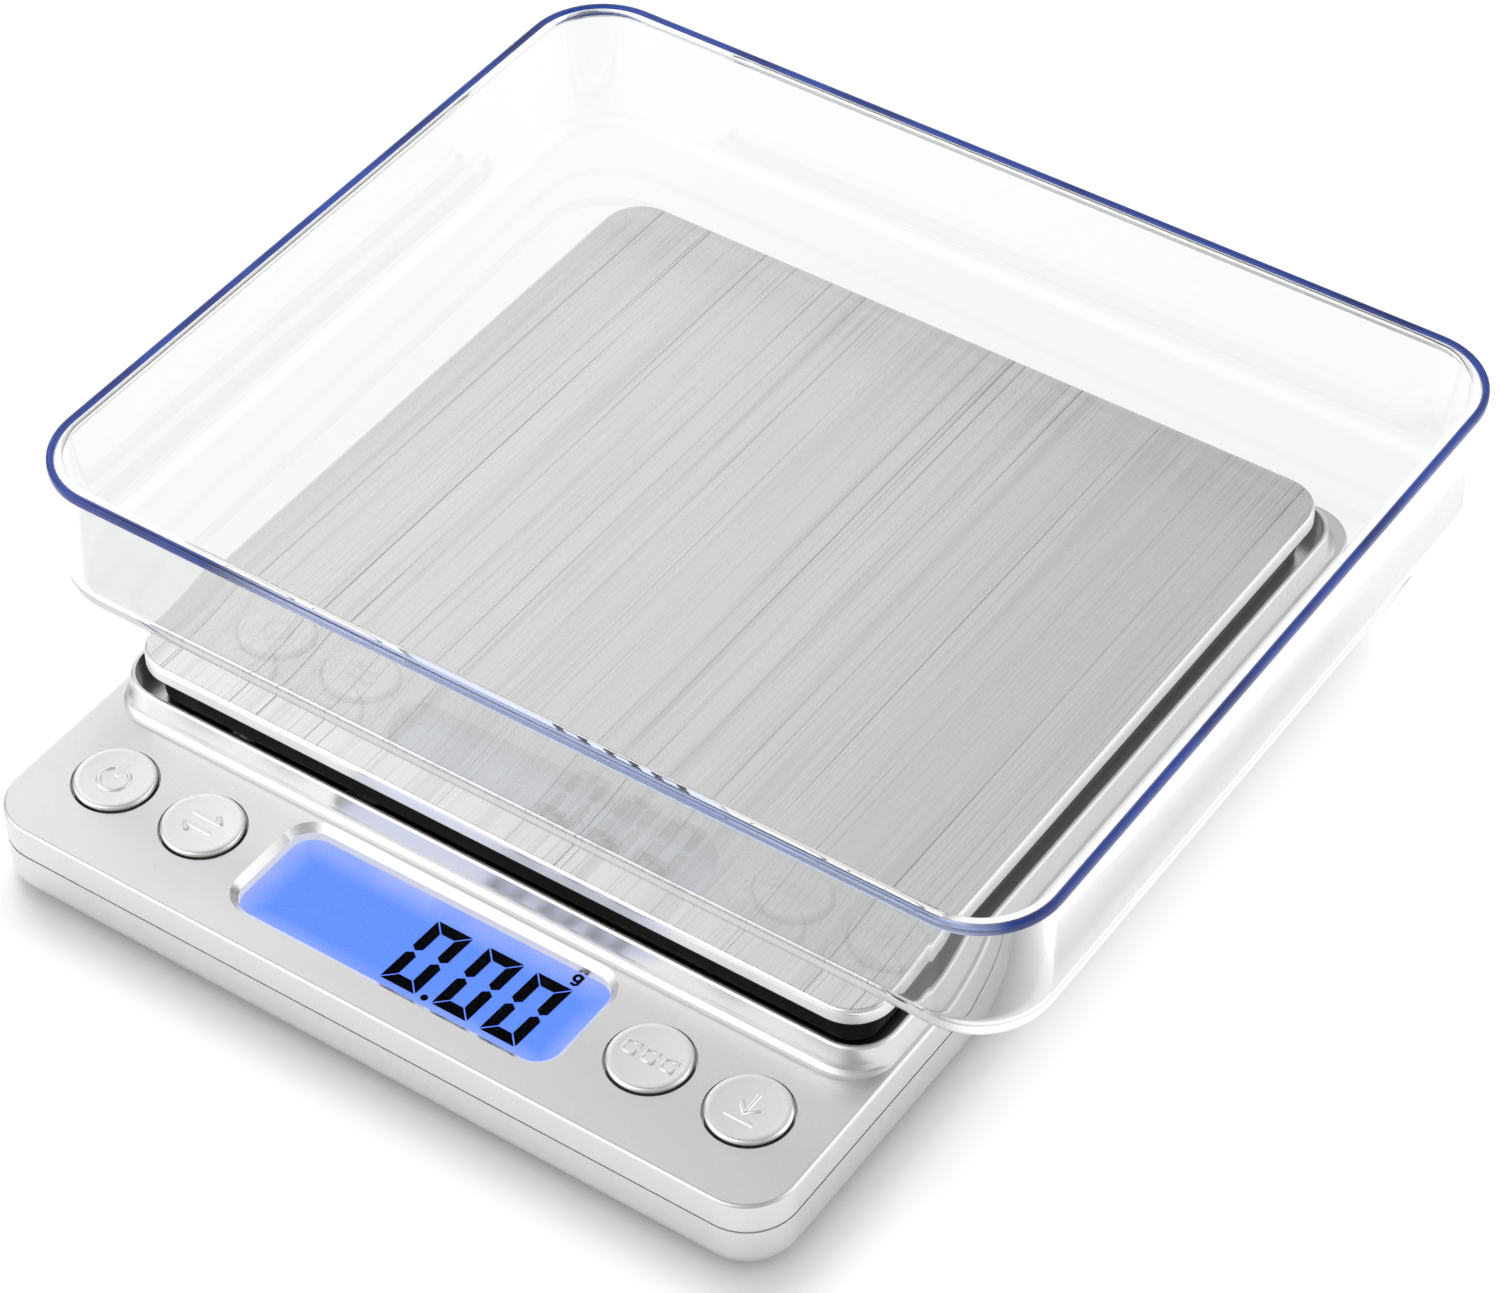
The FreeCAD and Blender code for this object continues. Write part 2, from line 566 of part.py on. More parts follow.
def platform_carrier():
    """Plastic support under the plate: sheet, rib all round and the post on the beam."""
    gap = PLATE_T + CARRIER_FIT
    x = PLATE_W / 2 - gap
    front = PLATE_FRONT + gap
    back = PLATE_BACK - gap
    corner = PLATE_CORNER - gap
    sheet = slab(-x, x, front, back, corner, CARRIER_LOW, CARRIER_TOP)
    low = CARRIER_TOP - CARRIER_RIB_DROP
    outer = CARRIER_RIB_IN
    rib = slab(-x + outer, x - outer, front + outer, back - outer, corner - outer, low, CARRIER_LOW + FIT)
    inner = outer + CARRIER_RIB_T
    rib = rib.cut(slab(-x + inner, x - inner, front + inner, back - inner, corner - inner,
                       low - OVER, CARRIER_LOW))
    post = block(-CARRIER_POST_W / 2, CARRIER_POST_W / 2, CELL_BACK - CELL_END, CELL_BACK,
                 CELL_TOP + CELL_GAP, CARRIER_LOW + FIT)
    body = sheet.fuse([rib, post])
    cuts = []
    for y in free_cell_holes():
        cuts.append(rod(0, y, M3_CLEAR, CELL_TOP, CARRIER_TOP + OVER))
        cuts.append(rod(0, y, M3_HEAD + HEAD_CLEAR, CARRIER_TOP - M3_HEAD_T - FIT, CARRIER_TOP + OVER))
    return body.cut(cuts).removeSplitter()


def platform_plate():
    """Folded steel sheet with a rolled upper edge."""
    x = PLATE_W / 2
    sheet = slab(-x, x, PLATE_FRONT, PLATE_BACK, PLATE_CORNER, PLATE_Z - PLATE_SKIRT, PLATE_Z)
    sheet = round_level_edges(sheet, PLATE_Z, PLATE_EDGE)
    under = slab(-x + PLATE_T, x - PLATE_T, PLATE_FRONT + PLATE_T, PLATE_BACK - PLATE_T,
                 PLATE_CORNER - PLATE_T, PLATE_Z - PLATE_SKIRT - OVER, PLATE_Z - PLATE_T)
    return sheet.cut(under)


def tray():
    """Clear tray: thin wall, rounded foot and a rim."""
    x = TRAY_W / 2 - TRAY_RIM_OUT
    front = TRAY_MID - TRAY_D / 2 + TRAY_RIM_OUT
    back = TRAY_MID + TRAY_D / 2 - TRAY_RIM_OUT
    corner = TRAY_CORNER - TRAY_RIM_OUT
    top = PLATE_Z + TRAY_H
    cup = round_level_edges(slab(-x, x, front, back, corner, PLATE_Z, top), PLATE_Z, TRAY_FOOT_EDGE)
    rim = slab(-TRAY_W / 2, TRAY_W / 2, front - TRAY_RIM_OUT, back + TRAY_RIM_OUT, TRAY_CORNER,
               top - TRAY_RIM_H, top)
    rim = round_level_edges(rim, top, TRAY_RIM_EDGE)
    rim = round_level_edges(rim, top - TRAY_RIM_H, TRAY_RIM_EDGE)
    hollow = slab(-x + TRAY_WALL, x - TRAY_WALL, front + TRAY_WALL, back - TRAY_WALL, corner - TRAY_WALL,
                  PLATE_Z + TRAY_FLOOR, top + OVER)
    hollow = round_level_edges(hollow, PLATE_Z + TRAY_FLOOR, TRAY_INNER_EDGE)
    return union(cup, [rim]).cut(hollow)


# ---- electronics ---------------------------------------------------------------------------
def circuit_board():
    x = HALF_W - BOARD_IN
    board = slab(-x, x, BOARD_IN, BOARD_IN + BOARD_D, BOARD_CORNER, BOARD_Z, BOARD_TOP)
    holes = [rod(hx, hy, SMALL_SHAFT + FIT, BOARD_Z - OVER, BOARD_TOP + OVER)
             for hx, hy in four_corners(BOARD_BOSS_X, BOARD_BOSS_Y)]
    return board.cut(holes)


def controller_chip():
    """Resin-topped controller under the board's display."""
    width, depth, height = CHIP
    y = BOARD_IN + BOARD_D / 2
    return slab(CHIP_X - width / 2, CHIP_X + width / 2, y - depth / 2, y + depth / 2, CHIP_CORNER,
                BOARD_Z - height, BOARD_Z)


def display_span(inset):
    """Left, right, front and back of the display stack, set in from its frame's pocket."""
    half = WINDOW_W / 2 + WINDOW_LAP - inset
    return -half, half, WINDOW_FRONT - WINDOW_LAP + inset, WINDOW_BACK + WINDOW_LAP - inset


def display_window():
    x0, x1, y0, y1 = display_span(0)
    return block(x0, x1, y0, y1, LENS_Z, UNDER_Z)


def lcd_glass():
    x0, x1, y0, y1 = display_span(FIT)
    return block(x0, x1, y0, y1, GLASS_Z, LENS_Z)


def lcd_backlight():
    x0, x1, y0, y1 = display_span(FIT)
    return block(x0, x1, y0 + STRIP_D + FIT, y1, LIGHT_Z, GLASS_Z)


def lcd_connector():
    """Conductive rubber strip between the glass's ledge and the board."""
    x0, x1, y0, y1 = display_span(FIT)
    return block(x0 + STRIP_IN, x1 - STRIP_IN, y0, y0 + STRIP_D, BOARD_TOP, GLASS_Z)


def lcd_frame():
    """Moulded frame that locates the display stack on the board."""
    x0, x1, y0, y1 = display_span(0)
    outer = block(x0 - LCD_FRAME_T, x1 + LCD_FRAME_T, y0 - LCD_FRAME_T / 2, y1 + LCD_FRAME_T / 2,
                  BOARD_TOP, LENS_Z)
    return outer.cut(block(x0, x1, y0, y1, BOARD_TOP - OVER, LENS_Z + OVER))


# ---- controls ------------------------------------------------------------------------------
def switch_top():
    return BOARD_TOP + SWITCH_H


def button_cap(x):
    """Round cap with a retaining flange and a stem on the switch."""
    top = PANEL_Z + BUTTON_PROUD
    cap = round_level_edges(rod(x, BUTTON_Y, BUTTON_R, UNDER_Z - FIT, top), top, BUTTON_EDGE)
    flange_top = UNDER_Z - FIT
    flange = rod(x, BUTTON_Y, BUTTON_FLANGE, flange_top - BUTTON_FLANGE_T, flange_top)
    stem = rod(x, BUTTON_Y, BUTTON_STEM, switch_top() + BUTTON_TRAVEL + FIT, flange_top - BUTTON_FLANGE_T)
    return union(cap, [flange, stem])


def switch_body(x):
    """Square push switch with the well its plunger slides in."""
    half = SWITCH_W / 2
    body = block(x - half, x + half, BUTTON_Y - half, BUTTON_Y + half, BOARD_TOP, switch_top())
    well = rod(x, BUTTON_Y, PLUNGER_R + PLUNGER_FIT, switch_top() - SWITCH_WELL, switch_top() + OVER)
    return body.cut(well)


def switch_plunger(x):
    top = switch_top() + BUTTON_TRAVEL + FIT
    return rod(x, BUTTON_Y, PLUNGER_R, top - SWITCH_WELL, top)


# ---- leads ---------------------------------------------------------------------------------
def board_lead(start, land_x, radius):
    """Lead from a pin or an end face, over the floor of the case, down onto the board's back edge."""
    land_y = BOARD_IN + BOARD_D - LAND_IN
    arch = BOARD_TOP + LEAD_ARCH * (UNDER_Z - BOARD_TOP)
    forward = land_y - start.y
    across = land_x - start.x
    points = [start, V(start.x, start.y + forward * LEAD_LEAVE, start.z)]
    for share_x, share_y, height in LEAD_WAY:
        points.append(V(start.x + across * share_x, start.y + forward * share_y, BOARD_TOP + height))
    points += [V(land_x, land_y, arch), V(land_x, land_y, BOARD_TOP)]
    return tube_along(points, radius)


# ---- the whole model -----------------------------------------------------------------------
def build():
    """Every node of the model by name, in case places."""
    second_x = BATTERY_FIRST_X + BATTERY_PITCH
    parts = {
        "bottom_cover": bottom_cover(),
        "top_cover": top_cover(),
        "battery_door": battery_door(),
        "platform_carrier": platform_carrier(),
        "platform_plate": platform_plate(),
        "tray": tray(),
        "load_cell": load_cell(),
        "circuit_board": circuit_board(),
        "controller_chip": controller_chip(),
        "display_window": display_window(),
        "lcd_glass": lcd_glass(),
        "lcd_backlight": lcd_backlight(),
        "lcd_connector": lcd_connector(),
        "lcd_frame": lcd_frame(),
        "battery_first": battery(BATTERY_FIRST_X, True),
        "battery_second": battery(second_x, False),
        "battery_terminal_positive": terminal(BATTERY_FIRST_X),
        "battery_terminal_negative": terminal(second_x),
        "battery_bridge": contact_plate(BATTERY_FIRST_X - CONTACT_W / 2, second_x + CONTACT_W / 2,
                                        BAY_BACK - CONTACT_T),
        "battery_spring_back": coil_spring(BATTERY_FIRST_X, BAY_BACK - CONTACT_T - SPRING_L, BATTERY_Z,
                                           SPRING_L,
                                           SPRING_R, SPRING_WIRE, SPRING_TURNS),
        "battery_spring_front": coil_spring(second_x, BAY_FRONT + CONTACT_T, BATTERY_Z, SPRING_L,
                                            SPRING_R, SPRING_WIRE, SPRING_TURNS),
    }
    for name, x in BUTTONS:
        parts["button_" + name] = button_cap(x)
        parts["switch_" + name] = switch_body(x)
        parts["plunger_" + name] = switch_plunger(x)
    corners = ("front_left", "front_right", "back_left", "back_right")
    for name, (x, y) in zip(corners, four_corners(FOOT_X, FOOT_YS)):
        foot = rod(x, y, FOOT_R, 0, CASE_LIFT + FOOT_SINK)
        parts["foot_" + name] = round_level_edges(foot, 0, FOOT_EDGE)
    for name, side, top in (("upper_front", -1, True), ("upper_back", 1, True),
                            ("lower_front", -1, False), ("lower_back", 1, False)):
        parts["strain_gauge_" + name] = strain_gauge(side, top)

    head_z = CASE_LIFT + SCREW_SINK + SCREW_HEAD_T
    screw_tip_z = LEDGE_Z - SCREW_COVER - SCREW_TIP_GAP
    parts["case_screws"] = Part.makeCompound(
        [headed_screw(x, y, head_z, SCREW_HEAD, SCREW_HEAD_T, SCREW_SHAFT, screw_tip_z)
         for x, y in four_corners(SCREW_X, SCREW_YS)])
    parts["load_cell_screws"] = Part.makeCompound(
        [headed_screw(0, y, CASE_LIFT + SCREW_SINK + M3_HEAD_T, M3_HEAD, M3_HEAD_T, M3_SHAFT,
                      CELL_TOP - M3_SHORT)
         for y in fixed_cell_holes()])
    parts["carrier_screws"] = Part.makeCompound(
        [headed_screw(0, y, CARRIER_TOP - M3_HEAD_T, M3_HEAD, M3_HEAD_T, M3_SHAFT, CELL_Z + M3_SHORT)
         for y in free_cell_holes()])
    parts["circuit_board_screws"] = Part.makeCompound(
        [headed_screw(x, y, BOARD_Z, SMALL_HEAD, SMALL_HEAD_T, SMALL_SHAFT, UNDER_Z - SMALL_TIP)
         for x, y in four_corners(BOARD_BOSS_X, BOARD_BOSS_Y)])
    parts["overload_stops"] = Part.makeCompound(
        [rod(x, y, STOP_R, FLOOR_Z + STOP_SEAT, STOP_TOP) for x, y in four_corners(STOP_X, STOP_YS)])

    pin_y = BAY_FRONT - BAY_WALL - PIN_OUT
    parts["battery_lead_positive"] = board_lead(V(BATTERY_FIRST_X, pin_y, BATTERY_Z), LEAD_POSITIVE_X,
                                                WIRE_R)
    parts["battery_lead_negative"] = board_lead(V(second_x, pin_y, BATTERY_Z), LEAD_NEGATIVE_X, WIRE_R)
    cable_start = V(-CELL_W / 4, CELL_FRONT, CELL_TOP - CABLE_DROP)
    parts["load_cell_cable"] = board_lead(cable_start, CABLE_X, CABLE_R)
    return parts


os.makedirs("parts", exist_ok=True)
for node, shape in build().items():
    shape.translate(V(0, SLIDE_Y, 0))
    shape.exportStep("parts/" + node + ".step")
    print(node, len(shape.Solids), shape.isValid(), round(shape.Volume, 2))
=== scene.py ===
import math

import bmesh
import bpy
from mathutils import Matrix, Vector


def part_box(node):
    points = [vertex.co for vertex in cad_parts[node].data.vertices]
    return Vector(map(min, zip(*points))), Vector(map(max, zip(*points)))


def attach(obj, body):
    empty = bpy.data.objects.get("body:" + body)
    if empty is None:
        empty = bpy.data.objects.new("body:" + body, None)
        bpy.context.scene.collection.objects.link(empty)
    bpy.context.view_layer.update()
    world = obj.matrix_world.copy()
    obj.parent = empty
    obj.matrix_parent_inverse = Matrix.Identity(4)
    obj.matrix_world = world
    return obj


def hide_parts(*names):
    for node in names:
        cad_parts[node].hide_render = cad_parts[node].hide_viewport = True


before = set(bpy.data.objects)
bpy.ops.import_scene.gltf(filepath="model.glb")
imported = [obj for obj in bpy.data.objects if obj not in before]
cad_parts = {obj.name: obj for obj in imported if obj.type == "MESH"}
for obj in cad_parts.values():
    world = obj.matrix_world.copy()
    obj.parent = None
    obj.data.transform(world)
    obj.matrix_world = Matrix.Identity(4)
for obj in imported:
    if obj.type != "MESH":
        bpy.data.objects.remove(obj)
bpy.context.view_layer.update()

bl_info = {
    "name": "Kitchen Scale",
    "version": (1, 0, 0),
    "blender": (4, 5, 0),
    "location": "3D View > Sidebar > Kitchen Scale",
    "description": "Finishes a slim kitchen scale: covers, steel platform, clear tray, display and buttons",
    "category": "Object",
}

MM = 0.001
BUTTON_NAMES = ("power", "mode", "count", "tare")

TRAY_GAP = 0.04 * MM            # air under the tray, so that its floor and the platform share no plane
TRAY_FOOT_EXTRA = 0.2 * MM      # rounding of the inside foot beyond an even wall
BEAD_OVERLAP = 0.45 * MM        # how far the coloured bead reaches in over the wall
BEAD_GAP = 0.02 * MM            # between the bead and the wall it sits on
BEAD_ROUND = 0.35 * MM
WALL_BELOW_RIM = 0.05 * MM
LEAST_CORNER = 1.5 * MM
PAINTED_LIGHT_FROM_LEFT = 28 * MM        # where the painted light of the front rim, a paler stretch, begins

FIGURES_DOWN = 5.05 * MM        # foot of the figures below the middle of the display
FIGURES_LEFT = (-2.17 * MM, 4.82 * MM, 11.3 * MM)       # from the middle of the display
POINT_AT = (3.78 * MM, 0.22 * MM)       # from the middle, and up from the foot of the figures
UNIT_AT = (15.95 * MM, 11.7 * MM)
POINT_RADIUS = 0.45 * MM
INK_HEIGHT = 0.02 * MM

CAP_RADIUS = 4.8 * MM
CAP_EDGE = 0.42 * MM
CAP_DISH = 0.07 * MM
CAP_LIGHTER = 1.16              # paint on the caps against paint on the covers: a lighter copy, painted light
SIGN_STROKE = 0.64 * MM
SIGN_DOWN = 0.063 * MM          # middle of a sign below the edge of the dished cap
PANEL_ABOVE_WINDOW = 2.0 * MM

FOOT_HOLLOW = 0.25 * MM
FOOT_EDGE = 0.4 * MM
FLOOR_REACH = 1.5               # metres each way


# ---- sizes and colours ---------------------------------------------------------------------
class ScaleSizes(bpy.types.PropertyGroup):
    """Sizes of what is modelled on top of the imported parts."""

    tray_wall: bpy.props.FloatProperty(
        name="Tray wall", description="Thickness of the tray's walls",
        default=1.4 * MM, unit="LENGTH")
    tray_floor: bpy.props.FloatProperty(
        name="Tray floor", description="Thickness of the tray's floor",
        default=1.6 * MM, unit="LENGTH")
    tray_corner: bpy.props.FloatProperty(
        name="Tray corner", description="Plan radius of the rim's corners",
        default=10.0 * MM, unit="LENGTH")
    tray_foot: bpy.props.FloatProperty(
        name="Tray foot radius", description="Rounding where the walls meet the floor, outside",
        default=3.2 * MM, unit="LENGTH")
    rim_out: bpy.props.FloatProperty(
        name="Rim overhang", description="How far the rim stands out of the wall",
        default=0.45 * MM, unit="LENGTH")
    rim_height: bpy.props.FloatProperty(
        name="Rim height", description="Height of the coloured rim",
        default=1.3 * MM, unit="LENGTH")
    legend_height: bpy.props.FloatProperty(
        name="Legend height", description="How far the button signs stand out of the caps",
        default=0.17 * MM, unit="LENGTH")
    figure_height: bpy.props.FloatProperty(
        name="Figure height", description="Height of one figure on the display",
        default=10.0 * MM, unit="LENGTH")
    figure_width: bpy.props.FloatProperty(
        name="Figure width", description="Width of one figure on the display",
        default=4.8 * MM, unit="LENGTH")
    figure_stroke: bpy.props.FloatProperty(
        name="Figure stroke", description="Width of one bar of a figure",
        default=1.42 * MM, unit="LENGTH")


class ScaleColours(bpy.types.PropertyGroup):
    """Colours of the visible finishes."""

    silver: bpy.props.FloatVectorProperty(
        name="Silver paint", description="Paint on the covers", subtype="COLOR", size=3,
        default=(0.725, 0.725, 0.72), min=0, max=1)
    steel: bpy.props.FloatVectorProperty(
        name="Steel", description="Brushed platform", subtype="COLOR", size=3,
        default=(0.84, 0.837, 0.83), min=0, max=1)
    rim: bpy.props.FloatVectorProperty(
        name="Rim", description="Tint of the tray's rim", subtype="COLOR", size=3,
        default=(0.01, 0.045, 0.3), min=0, max=1)
    display: bpy.props.FloatVectorProperty(
        name="Display", description="Lit field of the display", subtype="COLOR", size=3,
        default=(0.1, 0.245, 0.99), min=0, max=1)


# ---- finishes ------------------------------------------------------------------------------
class Finish:
    """A procedural material that is built up pattern by pattern."""

    def __init__(self, name, colour, **sockets):
        self.material = bpy.data.materials.new(name)
        self.material.use_nodes = True
        self.tree = self.material.node_tree
        self.shader = self.tree.nodes["Principled BSDF"]
        self.colour = None
        self.base = (*colour[:3], 1.0)
        self.normal = None
        self.shader.inputs["Base Color"].default_value = self.base
        for key, value in sockets.items():
            self.shader.inputs[key.replace("_", " ")].default_value = value
        self.place = self.node("ShaderNodeTexCoord").outputs["Object"]

    def node(self, kind, **settings):
        made = self.tree.nodes.new(kind)
        for key, value in settings.items():
            setattr(made, key, value)
        return made

    def link(self, source, target):
        self.tree.links.new(source, target)

    def scaled_place(self, scale):
        """Object coordinates times a scale per axis."""
        mapping = self.node("ShaderNodeMapping")
        mapping.inputs["Scale"].default_value = scale
        self.link(self.place, mapping.inputs["Vector"])
        return mapping.outputs["Vector"]

    def noise(self, scale, detail=3.0, rough=0.55):
        """Noise pattern with the given number of grains per metre along each axis."""
        texture = self.node("ShaderNodeTexNoise")
        texture.inputs["Scale"].default_value = 1.0
        texture.inputs["Detail"].default_value = detail
        texture.inputs["Roughness"].default_value = rough
        self.link(self.scaled_place(scale), texture.inputs["Vector"])
        return texture.outputs["Fac"]

    def spread(self, factor, low, high, out_low=0.0, out_high=1.0):
        """Stretch a pattern so that low..high becomes out_low..out_high."""
        ranged = self.node("ShaderNodeMapRange")
        for key, value in (("From Min", low), ("From Max", high), ("To Min", out_low), ("To Max", out_high)):
            ranged.inputs[key].default_value = value
        self.link(factor, ranged.inputs["Value"])
        return ranged.outputs["Result"]

    def combine(self, operation, first, second):
        result = self.node("ShaderNodeMath", operation=operation)
        self.link(first, result.inputs[0])
        self.link(second, result.inputs[1])
        return result.outputs[0]

    def multiply(self, first, second):
        return self.combine("MULTIPLY", first, second)

    def larger(self, first, second):
        return self.combine("MAXIMUM", first, second)

    def position(self, axis):
        """Object coordinate along one axis, in metres."""
        parts = self.node("ShaderNodeSeparateXYZ")
        self.link(self.place, parts.inputs[0])
        return parts.outputs[axis]

    def tint(self, factor, colour, share=1.0):
        """Blend towards a colour where the pattern is high."""
        if share < 1.0:
            factor = self.spread(factor, 0.0, 1.0, 0.0, share)
        mix = self.node("ShaderNodeMix", data_type="RGBA")
        self.link(factor, mix.inputs["Factor"])
        if self.colour is None:
            mix.inputs["A"].default_value = self.base
        else:
            self.link(self.colour, mix.inputs["A"])
        mix.inputs["B"].default_value = (*colour[:3], 1.0)
        self.colour = mix.outputs["Result"]
        self.link(self.colour, self.shader.inputs["Base Color"])

    def vary_roughness(self, factor, low, high):
        self.link(self.spread(factor, 0.3, 0.7, low, high), self.shader.inputs["Roughness"])

    def emboss(self, factor, depth, strength=1.0):
        """Raise the surface by up to depth metres where the pattern is high."""
        bump = self.node("ShaderNodeBump")
        bump.inputs["Distance"].default_value = depth
        bump.inputs["Strength"].default_value = strength
        self.link(factor, bump.inputs["Height"])
        if self.normal is not None:
            self.link(self.normal, bump.inputs["Normal"])
        self.normal = bump.outputs["Normal"]
        self.link(self.normal, self.shader.inputs["Normal"])

    def let_lamps_through(self, tint):
        """Shadow rays pass, tinted, so that what stands behind clear plastic stays lit."""
        path = self.node("ShaderNodeLightPath")
        clear = self.node("ShaderNodeBsdfTransparent")
        clear.inputs["Color"].default_value = (*tint, 1.0)
        mix = self.node("ShaderNodeMixShader")
        self.link(path.outputs["Is Shadow Ray"], mix.inputs[0])
        self.link(self.shader.outputs[0], mix.inputs[1])
        self.link(clear.outputs[0], mix.inputs[2])
        self.link(mix.outputs[0], self.tree.nodes["Material Output"].inputs["Surface"])


def satin_paint(name, colour):
    """Silver paint: fine metallic grain, faint clouding, very fine orange peel."""
    finish = Finish(name, colour, Metallic=1.0, Roughness=0.27, Coat_Weight=0.2, Coat_Roughness=0.12)
    grain = finish.noise((5200, 5200, 5200), detail=2.0)
    cloud = finish.noise((38, 38, 38), detail=4.0)
    finish.tint(finish.spread(grain, 0.62, 0.8), (0.93, 0.93, 0.93), 0.5)
    finish.tint(finish.spread(grain, 0.4, 0.22), (0.5, 0.5, 0.5), 0.35)
    finish.tint(finish.spread(cloud, 0.5, 0.8), (0.72, 0.72, 0.725), 0.25)
    finish.vary_roughness(cloud, 0.24, 0.31)
    finish.emboss(grain, 0.012 * MM, 0.5)
    return finish.material


def brushed_steel(name, colour, top):
    """Steel brushed along the depth: hairlines, bands, deeper scratches; its rolled edge is polished, and the
    skirt below it is painted lighter as a painted highlight.
    """
    finish = Finish(name, colour, Metallic=1.0, Roughness=0.3, Anisotropic=0.4)
    flat = finish.spread(finish.position("Z"), top - 0.1 * MM, top - 0.02 * MM)
    hair = finish.noise((5600, 12, 300), detail=3.0, rough=0.75)
    band = finish.noise((420, 7, 60), detail=4.0, rough=0.7)
    broad = finish.noise((45, 3, 20), detail=2.0)
    scratch = finish.noise((3000, 6, 200), detail=1.0)
    finish.tint(finish.multiply(flat, finish.spread(hair, 0.48, 0.68)), (0.78, 0.777, 0.77), 0.45)
    finish.tint(finish.multiply(flat, finish.spread(hair, 0.5, 0.32)), (0.36, 0.357, 0.35), 0.4)
    finish.tint(finish.multiply(flat, finish.spread(band, 0.5, 0.3)), (0.42, 0.416, 0.41), 0.32)
    finish.tint(finish.multiply(flat, finish.spread(broad, 0.45, 0.7)), (0.7, 0.697, 0.69), 0.4)
    finish.tint(finish.multiply(flat, finish.spread(scratch, 0.34, 0.27)), (0.2, 0.198, 0.195), 0.7)
    # Painted highlight: the skirt below the rolled edge is painted lighter; the same mask makes it rougher.
    painted_highlight_skirt = finish.spread(finish.position("Z"), top - 0.55 * MM, top - 0.7 * MM, 0.0, 0.8)
    finish.tint(painted_highlight_skirt, (0.9, 0.9, 0.89))
    finish.vary_roughness(finish.larger(finish.multiply(flat, hair), painted_highlight_skirt), 0.17, 0.42)
    finish.emboss(finish.multiply(flat, hair), 0.006 * MM, 0.6)
    along = finish.node("ShaderNodeCombineXYZ")
    for axis, share in (("X", 0.03), ("Y", 1.0), ("Z", 0.02)):      # never along a face's normal
        along.inputs[axis].default_value = share
    finish.link(along.outputs[0], finish.shader.inputs["Tangent"])
    return finish.material


def clear_plastic(name, colour, lamps, waves=0.02, ior=1.4):
    """Polished clear plastic with the slight waviness of moulding, and painted shade where it is seen
    edge-on.
    """
    finish = Finish(name, colour, Roughness=0.0, IOR=ior, Transmission_Weight=1.0)
    wave = finish.noise((70, 70, 70), detail=1.0)
    haze = finish.noise((600, 600, 600), detail=3.0)
    finish.tint(finish.spread(haze, 0.45, 0.8), tuple(c * 0.985 for c in colour), 0.5)
    # Painted shade: the colour darkens where the surface is seen edge-on, drawing the dark outlines of clear
    # plastic.
    outline = finish.node("ShaderNodeLayerWeight").outputs["Facing"]
    finish.tint(finish.spread(outline, 0.72, 1.0), tuple(c * 0.55 for c in colour), 0.85)
    finish.vary_roughness(haze, 0.0, 0.02)
    finish.emboss(wave, waves * MM, 1.0)
    if lamps is not None:
        finish.let_lamps_through(lamps)
    return finish.material


def edge_blue(name, colour, painted_light_from):
    """Clear plastic that carries blue at its edge, deeper in patches, and painted paler along the front as
    painted light.
    """
    finish = Finish(name, colour, Roughness=0.0, IOR=1.5, Transmission_Weight=1.0)
    patch = finish.noise((75, 75, 75), detail=3.0, rough=0.6)
    front = finish.spread(finish.position("Y"), painted_light_from.y + 4 * MM, painted_light_from.y + 1 * MM)
    along = finish.spread(finish.position("X"), painted_light_from.x, painted_light_from.x + 12 * MM)
    finish.tint(finish.spread(patch, 0.47, 0.56), (0.003, 0.02, 0.17), 0.85)
    # Painted light: the front stretch of the rim is painted paler.
    finish.tint(finish.multiply(front, along), (0.5, 0.57, 0.84), 0.88)
    finish.vary_roughness(patch, 0.0, 0.05)
    finish.emboss(patch, 0.012 * MM, 1.0)
    return finish.material


def moulded_plastic(name, colour, roughness, grain=1500):
    """Moulded plastic with a spark-eroded grain."""
    finish = Finish(name, colour, Roughness=roughness)
    speck = finish.noise((grain, grain, grain), detail=3.0)
    cloud = finish.noise((60, 60, 60), detail=3.0)
    finish.tint(finish.spread(speck, 0.4, 0.75), tuple(min(1.0, c * 1.25 + 0.01) for c in colour), 0.5)
    finish.tint(finish.spread(cloud, 0.45, 0.75), tuple(c * 0.8 for c in colour), 0.3)
    finish.vary_roughness(cloud, roughness - 0.06, roughness + 0.08)
    finish.emboss(speck, 0.02 * MM, 0.6)
    return finish.material


def bare_metal(name, colour, roughness, streak=(900, 900, 900)):
    """Bare or plated metal with fine machining marks and dull patches."""
    finish = Finish(name, colour, Metallic=1.0, Roughness=roughness)
    marks = finish.noise(streak, detail=3.0)
    patch = finish.noise((130, 130, 130), detail=4.0)
    finish.tint(finish.spread(marks, 0.4, 0.7), tuple(c * 0.82 for c in colour), 0.45)
    finish.tint(finish.spread(patch, 0.5, 0.75), tuple(c * 0.7 for c in colour), 0.35)
    finish.vary_roughness(patch, roughness - 0.06, roughness + 0.12)
    finish.emboss(marks, 0.01 * MM, 0.5)
    return finish.material


